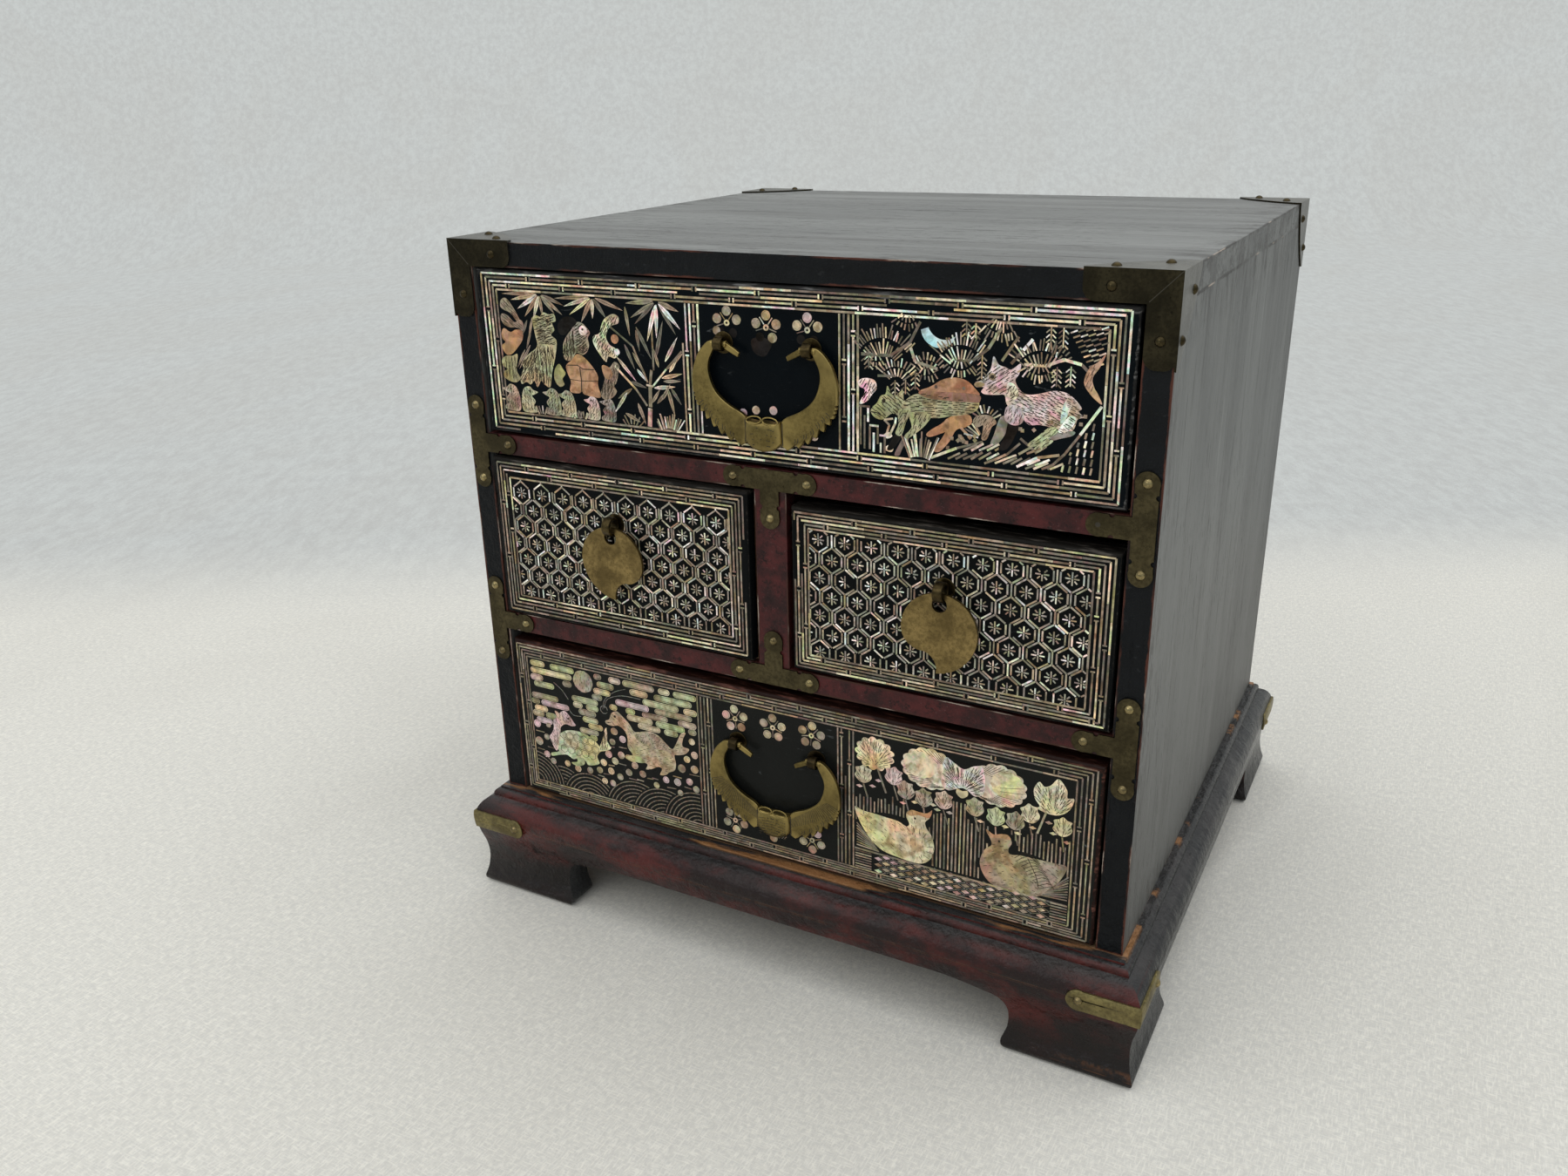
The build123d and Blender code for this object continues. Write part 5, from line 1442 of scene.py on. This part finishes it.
    # lotus leaves and flowers
    for centre, rx, rz in (((78.6, 70.8), 12.4, 9.6), ((111.2, 70.4), 12, 9.6)):
        inlay.plate(LEAF, scalloped(centre, rx, rz, 15, 0.09), round_off=False, painted_glint=0.4)
        for k in range(42):
            rim = polar(centre, 1, 360 * k / 42)
            edge = (centre[0] + (rim[0] - centre[0]) * rx * 0.96,
                centre[1] + (rim[1] - centre[1]) * rz * 0.96)
            vein = 0.62 if math.dist(LOTUS_HEART, edge) > 9 else 0.8
            inlay.cut([lerp(LOTUS_HEART, edge, vein), edge], 0.2)
        inlay.plate(CREAM, scalloped(lerp(centre, LOTUS_HEART, -0.25), rx * 0.62, rz * 0.66, 11, 0.06),
            round_off=False, level=1, painted_glint=0.3)
    middle = inlay.plate(PINK, [(86, 78), (90, 77), (95, 74.6), (100, 77.4), (104, 77), (105, 66),
        (101, 62.4), (97.4, 64.4), (94.6, 65.2), (91.8, 64), (87.6, 62.4), (84.6, 66)], level=1, painted_glint=0.6)
    inlay.strokes(middle, away_from((94.6, 63)), 1.2, 3.0, 0.24, 1)
    inlay.plate(CREAM, [(94.6, 60), (97.2, 61.8), (97, 64.2), (94.6, 63.6), (92.2, 64.2), (92, 61.8)],
        level=1)
    bloom = inlay.plate(CREAM, scalloped((52, 72), 8.6, 7.4, 13, 0.16), round_off=False, painted_glint=0.35)
    inlay.strokes(bloom, away_from((52, 66)), 1.5, 2.8, 0.24)
    bud = inlay.plate(CREAM, [(133.4, 62.6), (138.6, 63), (143, 66.6), (144.8, 72.4), (141.8, 72.2),
        (141.4, 76), (137.6, 80.4), (134.4, 76.6), (131.6, 75.2), (129.2, 77), (127, 73), (127.8, 68.4),
        (130, 65.4), (129, 64)], painted_glint=0.35)
    inlay.strokes(bud, away_from((136, 62)), 1.5, 2.6, 0.24)
    buds = ((46.4, 60.2, CREAM), (61.6, 62.8, PINK), (67.6, 57, TAN), (76.4, 55.4, TAN), (86, 56.6, PINK),
        (100.8, 57, TAN), (110.6, 54.8, GREEN), (119.6, 55, TAN), (126, 60.4, CREAM), (140.6, 57.6, CREAM))
    for x, z, tint in buds:
        shape = inlay.plate(tint, moved(BUD, x, z, random.uniform(-14, 14)), painted_glint=0.2)
        inlay.strokes(shape, away_from((x, z - 5)), 1.4, 2.4, 0.22)
        inlay.path([(x, z - 5), (x + random.uniform(0.6, 2.4), z - 12)], 0.7)
    for x, z in ((51, 55), (44.4, 53.6), (66.4, 50.2), (72, 52), (81, 53), (89, 51), (103.6, 50.6), (115, 51),
            (121, 49.2), (127.4, 53.8), (134.4, 58.2), (136.6, 53.4), (142.8, 50.6), (54, 58.6), (83, 51)):
        inlay.plate(random.choice((CREAM, TAN, PINK)), moved(LOZENGE, x, z, size=0.85), round_off=False,
            level=1, painted_glint=0.4)
    for points in (((53.6, 64.6), (57.8, 53)), ((133, 63), (129.6, 51.6))):
        inlay.path(points, 1.0)


def bottom_drawer_inlay():
    inlay = Inlay("bottom_drawer", BOTTOM_FACE, glow=0.60, strip=0.72)
    across = {(1, 0): joints(-124, 27.6, 10), (1, 2): joints(-128, 28.2, 10),
        (3, 0): joints(-137.6, 27.4, 11), (3, 2): joints(-141, 27.9, 11)}
    upright = {(1, 1): [16, 43.6, 73], (1, 3): [16, 42, 70], (3, 1): [30.4, 58.6], (3, 3): [28, 55]}
    border(inlay, (-153.3, -151.8, -150.3, -148.8, -147.4), (154, 152, 149.9, 147.7, 145.6),
        (88.3, 86.7, 85.1, 83.4, 81.8), (3.3, 4.7, 6, 7.3, 8.6), across, upright)
    band(inlay, (-42.8, -40.9, -38.9, -36.9, -34.9), 9.2, 81.2, 28, 26)
    band(inlay, (33.3, 35.2, 37.2, 39.2, 41.2), 9.2, 81.2, 24, 27)
    bottom_left_field(inlay)
    bottom_right_field(inlay)
    for centre, turn, missing in (((-21.6, 73.4), 95, ()), ((-1, 73.2), 90, ()), ((19.6, 73.8), 85, ()),
            ((-23.6, 16.6), -85, ()), ((-1.6, 17.4), -95, (2, 3)), ((19.2, 17), -88, ())):
        blossom(inlay, centre, turn, missing)
    inlay.build()


# -------------------------------------------------- middle drawers: tortoise-shell lattice

# each lattice strip's tint and its painted glint
LATTICE_TINTS = ((GREY, 0.05), (GREY, 0.1), (STONE, 0.1), (STONE, 0.2), (TAN, 0.1), (PALE, 0.6))
CELL_HALF = 4.75
CELL_TIP = 6.0
CELL_SIDE = 2.55
CELL = [(0, CELL_TIP), (CELL_HALF, CELL_SIDE), (CELL_HALF, -CELL_SIDE), (0, -CELL_TIP),
    (-CELL_HALF, -CELL_SIDE), (-CELL_HALF, CELL_SIDE)]
LATTICE_ROWS = 7
LOST_BARS = 0.022
CELL_STRIP = 0.72
TIE_STRIP = 0.68
RAY_STRIP = 0.60
RAY_REACH = 2.9


def lattice(inlay, first, pitch_x, pitch_z, low, high):
    """Hexagon rings with eight-rayed stars, tied tip to tip by short uprights."""
    def lay(a, b, width=CELL_STRIP):
        kept = clipped(a, b, low, high)
        if kept and random.random() > LOST_BARS:
            tint, painted_glint = random.choice(LATTICE_TINTS)
            inlay.bar(*kept, width, vary(tint, 0.22), painted_glint=painted_glint)

    for row in range(LATTICE_ROWS):
        z = first[1] - pitch_z * row
        for k in range(-1, 12):
            x = first[0] + pitch_x * (k + 0.5 * (row % 2)) + random.uniform(-0.25, 0.25)
            if not low[0] - 4 < x < high[0] + 4:
                continue
            for (ax, az), (bx, bz) in sides_of(CELL):
                a, b = (x + ax, z + az), (x + bx, z + bz)
                lay(lerp(a, b, 0.05), lerp(a, b, 0.95))
            lay((x, z + CELL_TIP), (x, z + 2 * pitch_z - CELL_TIP), TIE_STRIP)
            for ray in range(8):
                turn = 45 * ray + 90
                near = 0.15 if ray % 4 == 0 else 0.6 if ray % 2 == 0 else 1.3
                lay(polar((x, z), near, turn), polar((x, z), RAY_REACH, turn), RAY_STRIP)


def middle_inlay(drawer, face, left, right, top, bottom, across, upright, first, pitch):
    inlay = Inlay(drawer, face, glow=0.84, strip=0.80)
    border(inlay, left, right, top, bottom, across, upright)
    low = (left[4] + 0.5, bottom[4] + 0.5)
    high = (right[4] - 0.5, top[4] - 0.5)
    lattice(inlay, first, *pitch, low, high)
    inlay.build()


# -------------------------------------------------- bat bails

BAIL_FRONT = -1.15
BAIL_BACK = 1.15
BAIL_ARRIS = 0.32
WING_OUTER = [(23.9, 1.5), (26.6, 0.9), (29.6, -1.6), (32.4, -5.4), (34.4, -10.4), (35.3, -15.6), (35.2, -20)]
WING_NICKS = [(35.1, -21.6), (34.8, -23.4), (34.2, -25.2)]
WING_TEETH = [(33.4, -27.4), (31.6, -30.2), (28.8, -33.4), (25.2, -36.6), (21.2, -39.6), (16.8, -41.8),
    (11.4, -43.4)]
WING_HOLLOWS = [1.5, 2.2, 2.5, 2.2, 2.7, 2.3]
WING_INNER = [(8.7, -41.8), (8.5, -36), (8.6, -31.4), (11.2, -28.9), (16.8, -26.3), (22, -22.6),
    (25.2, -18.4), (27.1, -12.4), (26.8, -7.6), (24.9, -3.6), (23.9, -1.5)]
WING_MIDDLE = (21, -17)
BODY = [(-8.4, -31.2), (-4, -31.8), (0, -31.4), (4, -31.8), (8.4, -31.2), (8.9, -36), (9.0, -40.4),
    (7.2, -42.6), (4, -44.4), (0, -45.1), (-4, -44.4), (-7.2, -42.6), (-9.0, -40.4), (-8.9, -36)]
BODY_MIDDLE = (0, -37.6)
BODY_HALF_WIDTH = 8.9
BODY_HALF_HEIGHT = 7.2
BODY_CROWN = ((1.0, -1.2), (0.985, -1.9), (0.93, -2.6), (0.74, -3.3), (0.42, -3.7), (0.0, -3.8))
BEAK = [(18.6, 1.3), (15.4, -0.5), (12.6, -2.1), (11.3, -3.1), (12, -4.9), (15, -3.6), (18.6, -1.7)]
BEAK_HALF = 0.8
BEAK_ARRIS = 0.25
PIVOT = (17.6, 19, 22, 25.2)
PIVOT_RADIUS = 1.5
EAR_WIRE = 0.34
FURROWS = 30
SHARP_BAIL_ANGLE = math.radians(38)


class Shape:
    """Closed shells in millimetres about an origin, gathered into one mesh."""

    def __init__(self, origin):
        self.origin = origin
        self.verts = []
        self.faces = []

    def shell(self, rings, closed=False):
        """Joins rings of points, all the same length, and caps both ends unless they close on themselves."""
        base = len(self.verts)
        count = len(rings[0])
        for ring in rings:
            self.verts += [tuple((c + o) * MM for c, o in zip(point, self.origin)) for point in ring]
        for r in range(len(rings) if closed else len(rings) - 1):
            a, b = base + r * count, base + (r + 1) % len(rings) * count
            for k in range(count):
                j = (k + 1) % count
                self.faces.append((a + k, a + j, b + j, b + k))
        if not closed:
            self.faces.append(tuple(base + k for k in reversed(range(count))))
            self.faces.append(tuple(base + (len(rings) - 1) * count + k for k in range(count)))

    def slab(self, outline, front, back, arris):
        """A flat plate in the x-z plane with its arrises taken off."""
        small = shrunk(outline, arris)
        levels = ((small, front), (outline, front + arris), (outline, back - arris), (small, back))
        self.shell([[(x, y, z) for x, z in shape] for shape, y in levels])

    def crown(self, outline, middle, levels, back):
        """A plate whose face swells towards the middle."""
        rings = [[(x, back, z) for x, z in outline]]
        for size, y in levels:
            ring = [lerp(middle, point, max(size, 0.02)) for point in outline]
            rings.append([(x, y, z) for x, z in ring])
        self.shell(rings)

    def tube(self, path, radius, sides=8, closed=False):
        points = [Vector(p) for p in path]
        rings = []
        for k, point in enumerate(points):
            before = points[k - 1] if k or closed else point
            after = points[(k + 1) % len(points)] if k + 1 < len(points) or closed else point
            along = (after - before).normalized()
            side = along.cross(Vector((0, 1, 0.01))).normalized()
            up = side.cross(along)
            rings.append([tuple(point + radius * (side * math.cos(a) + up * math.sin(a)))
                          for a in (2 * math.pi * j / sides for j in range(sides))])
        self.shell(rings, closed)

    def build(self, name, body, material, slot, *replaced):
        mesh = bpy.data.meshes.new(name)
        mesh.from_pydata(self.verts, [], self.faces)
        work = bmesh.new()
        work.from_mesh(mesh)
        bmesh.ops.recalc_face_normals(work, faces=work.faces)
        work.to_mesh(mesh)
        work.free()
        mesh.polygons.foreach_set("use_smooth", [True] * len(mesh.polygons))
        mesh.set_sharp_from_angle(angle=SHARP_BAIL_ANGLE)
        mesh.materials.append(material)
        piece = added(name, mesh)
        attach(piece, body)
        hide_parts(*replaced)


def shrunk(outline, inset):
    """The outline moved inwards along its own corners."""
    way = 1 if anticlockwise(outline) else -1
    out = []
    for before, at, after in zip(outline[-1:] + outline[:-1], outline, outline[1:] + outline[:1]):
        a = Vector((at[0] - before[0], at[1] - before[1])).normalized()
        b = Vector((after[0] - at[0], after[1] - at[1])).normalized()
        inward = Vector((-a.y - b.y, a.x + b.x)) * way
        inward = inward.normalized() if inward.length > 0.3 else Vector((0, 0))
        out.append((at[0] + inward.x * inset, at[1] + inward.y * inset))
    return out


def inward_from(point):
    """The way from a bail wing's rim towards its inner edge."""
    return (Vector(WING_MIDDLE) - Vector(point)).normalized()


def stepped(point, way, distance):
    return (point[0] + way.x * distance, point[1] + way.y * distance)


def wing_hollows():
    """The deepest points of the hollows in a bail wing's lower edge."""
    out = []
    for tip, after, deep in zip(WING_TEETH, WING_TEETH[1:], WING_HOLLOWS):
        middle = lerp(tip, after, 0.36)
        out.append(stepped(middle, inward_from(middle), deep))
    return out


def wing_outline():
    """A bail's right wing, with small nicks and then deep hollows between hooked teeth in its lower edge."""
    ragged = []
    for x, z in WING_NICKS:
        ragged += [(x, z), (x - 0.9, z - 0.5), (x - 0.5, z - 1.1)]
    for tip, after, hollow in zip(WING_TEETH, WING_TEETH[1:], wing_hollows()):
        shoulder = lerp(tip, after, 0.74)
        ragged += [tip, lerp(lerp(tip, after, 0.16), hollow, 0.55), hollow,
                   stepped(shoulder, inward_from(shoulder), 0.5)]
    curve = smooth(WING_OUTER, closed=False, fine=3)
    return curve + ragged + WING_TEETH[-1:] + smooth(WING_INNER, closed=False, fine=3)


def crown_depth(x, z):
    """How far forward the body's crowned face is at a point."""
    reach = max(abs(x) / BODY_HALF_WIDTH, abs(z - BODY_MIDDLE[1]) / BODY_HALF_HEIGHT)
    for (size, y), (small, deep) in zip(BODY_CROWN, BODY_CROWN[1:]):
        if reach >= small:
            return y + (deep - y) * (size - min(reach, size)) / (size - small)
    return BODY_CROWN[-1][1]


def bat_bail(which, hinge, furrowed):
    """A bail in the form of a bat: wings, beaks, pivots and ears about a crowned body, and its engraving."""
    shape = Shape(hinge)
    body = f"{which}_bail_handle"
    lines = Inlay(body, hinge[1] + BAIL_FRONT, (hinge[0], hinge[2]), f"{which}_bail_engraving")
    for side in (1, -1):
        wing = [(side * x, z) for x, z in wing_outline()]
        shape.slab(wing, BAIL_FRONT, BAIL_BACK, BAIL_ARRIS)
        shape.slab([(side * x, z) for x, z in BEAK], -BEAK_HALF, BEAK_HALF, BEAK_ARRIS)
        shape.tube([(side * x, 0, 0) for x in PIVOT], PIVOT_RADIUS, 14)
        right = [(abs(x), z) for x, z in wing]

        def engrave(points, width):
            lines.engrave([(side * x, z) for x, z in points if inside((x, z), right)], width)

        for x, z in wing_hollows():
            way = inward_from((x, z))
            for shift, reach in ((-0.5, 2.6), (0.6, 1.7)):
                start = (x - way.y * shift + way.x * 0.3, z + way.x * shift + way.y * 0.3)
                middle = (start[0] + way.x * reach * 0.5 + 0.3, start[1] + way.y * reach * 0.5)
                engrave(smooth([start, middle, stepped(start, way, reach)], closed=False, fine=3), 0.24)
        if furrowed:
            for k in range(FURROWS):
                along = k / (FURROWS - 1)
                start = lerp((9.8, -32.4), (27.8, -19), along)
                way = -inward_from(lerp((11, -43), (35, -22), along))
                engrave([stepped(start, way, d) for d in (0.4, 2.6, 4.8, 7)], 0.18)
        lines.engrave([(side * 9.15, -31.6), (side * 9.1, -36), (side * 9.3, -41.6)], 0.4)
        ear = [(side * 4.0 + 3.7 * math.cos(a) * math.cos(0.2) + side * 0.5 * math.sin(a),
                -2.6 + 0.5 * math.sin(a), -31.0 + 1.5 * math.sin(a) - side * 0.5 * math.cos(a))
               for a in (2 * math.pi * k / 20 for k in range(20))]
        shape.tube(ear, EAR_WIRE, closed=True)
    shape.crown(BODY, BODY_MIDDLE, BODY_CROWN, BAIL_BACK)
    shape.build(f"{which}_bat_bail", body, aged_brass, "aged_brass", f"{which}_bail")
    rows, pitch, kept = (7, 1.5, 0.8) if furrowed else (4, 2.5, 0.35)
    for row in range(rows):
        z = -34 - row * pitch
        for k in range(-7, 8):
            x = k * 0.98
            proud = BAIL_FRONT - crown_depth(x, z - 0.12 * x * x * 0.2)
            if random.random() < kept:
                sag = z - 0.024 * x * x
                lines.engrave([(x - 0.4, sag), (x + 0.35, sag)], 0.24, proud)
    lines.build(filled_line, "aged_brass")


# -------------------------------------------------- corner brackets

# in mm, z from the floor: the ends of the seam between a front bracket's arms, and the lost nail's place
MITRE_OUTER = (170.6, 350.6)
MITRE_INNER = (159.2, 339.2)
LOST_NAIL = (146.3, 253.0)


def corner_mitres():
    """The seams where the arms of the front corner brackets meet, and the hole of the nail that was lost."""
    seams = Inlay("chest", BRACKET_FACE, (0, 0), "bracket_seams")
    for side in (-1, 1):
        seams.engrave([(side * x, z) for x, z in (MITRE_OUTER, MITRE_INNER)], 0.35)
    hole = [polar(LOST_NAIL, random.uniform(0.95, 1.15), 30 * k) for k in range(12)]
    seams.prism(hole, ENGRAVED, CUT_LEVEL, FILLED)
    seams.build(filled_line, "dark_brass")


top_drawer_inlay()
bottom_drawer_inlay()
corner_mitres()
bat_bail("top", (0.6, -155.85, 312.1), False)
bat_bail("bottom", (1.0, -156.95, 119.9), True)
middle_inlay("left_drawer", LEFT_FACE,
             (-152.4, -150.5, -148.7, -146.9, -145.1), (-12.6, -14.5, -16.3, -18.2, -20),
             (186.6, 184.8, 183, 181.2, 179.4), (108.9, 110.9, 112.9, 114.9, 116.9),
             {(1, 0): joints(-133.6, 26.5, 5), (1, 2): joints(-137.6, 26.6, 5),
              (3, 0): joints(-120, 26.4, 4), (3, 2): joints(-124.4, 27, 4)},
             {(1, 1): [133.6, 161], (1, 3): [138, 166], (3, 1): [122.6, 149], (3, 3): [151.6, 171]},
             (-138.4, 172.2), (12.4, 8.68))
middle_inlay("right_drawer", RIGHT_FACE,
             (12.7, 14.4, 16.1, 17.8, 19.5), (154.7, 152.7, 150.7, 148.6, 146.4),
             (182.4, 180.7, 179, 177.3, 175.6), (108.6, 110.2, 111.8, 113.4, 115),
             {(1, 0): joints(41.4, 27, 4), (1, 2): joints(39.2, 27.5, 5),
              (3, 0): joints(28.6, 27.2, 5), (3, 2): joints(26.8, 27.3, 5)},
             {(1, 1): [121.6, 144], (1, 3): [124, 146.6, 168], (3, 1): [133.6, 156, 166], (3, 3): [129, 158]},
             (24.6, 171.2), (12.6, 8.95))

make_camera()
make_lights()
make_stage()
dress_all()

bpy.context.scene.view_settings.view_transform = "Standard"
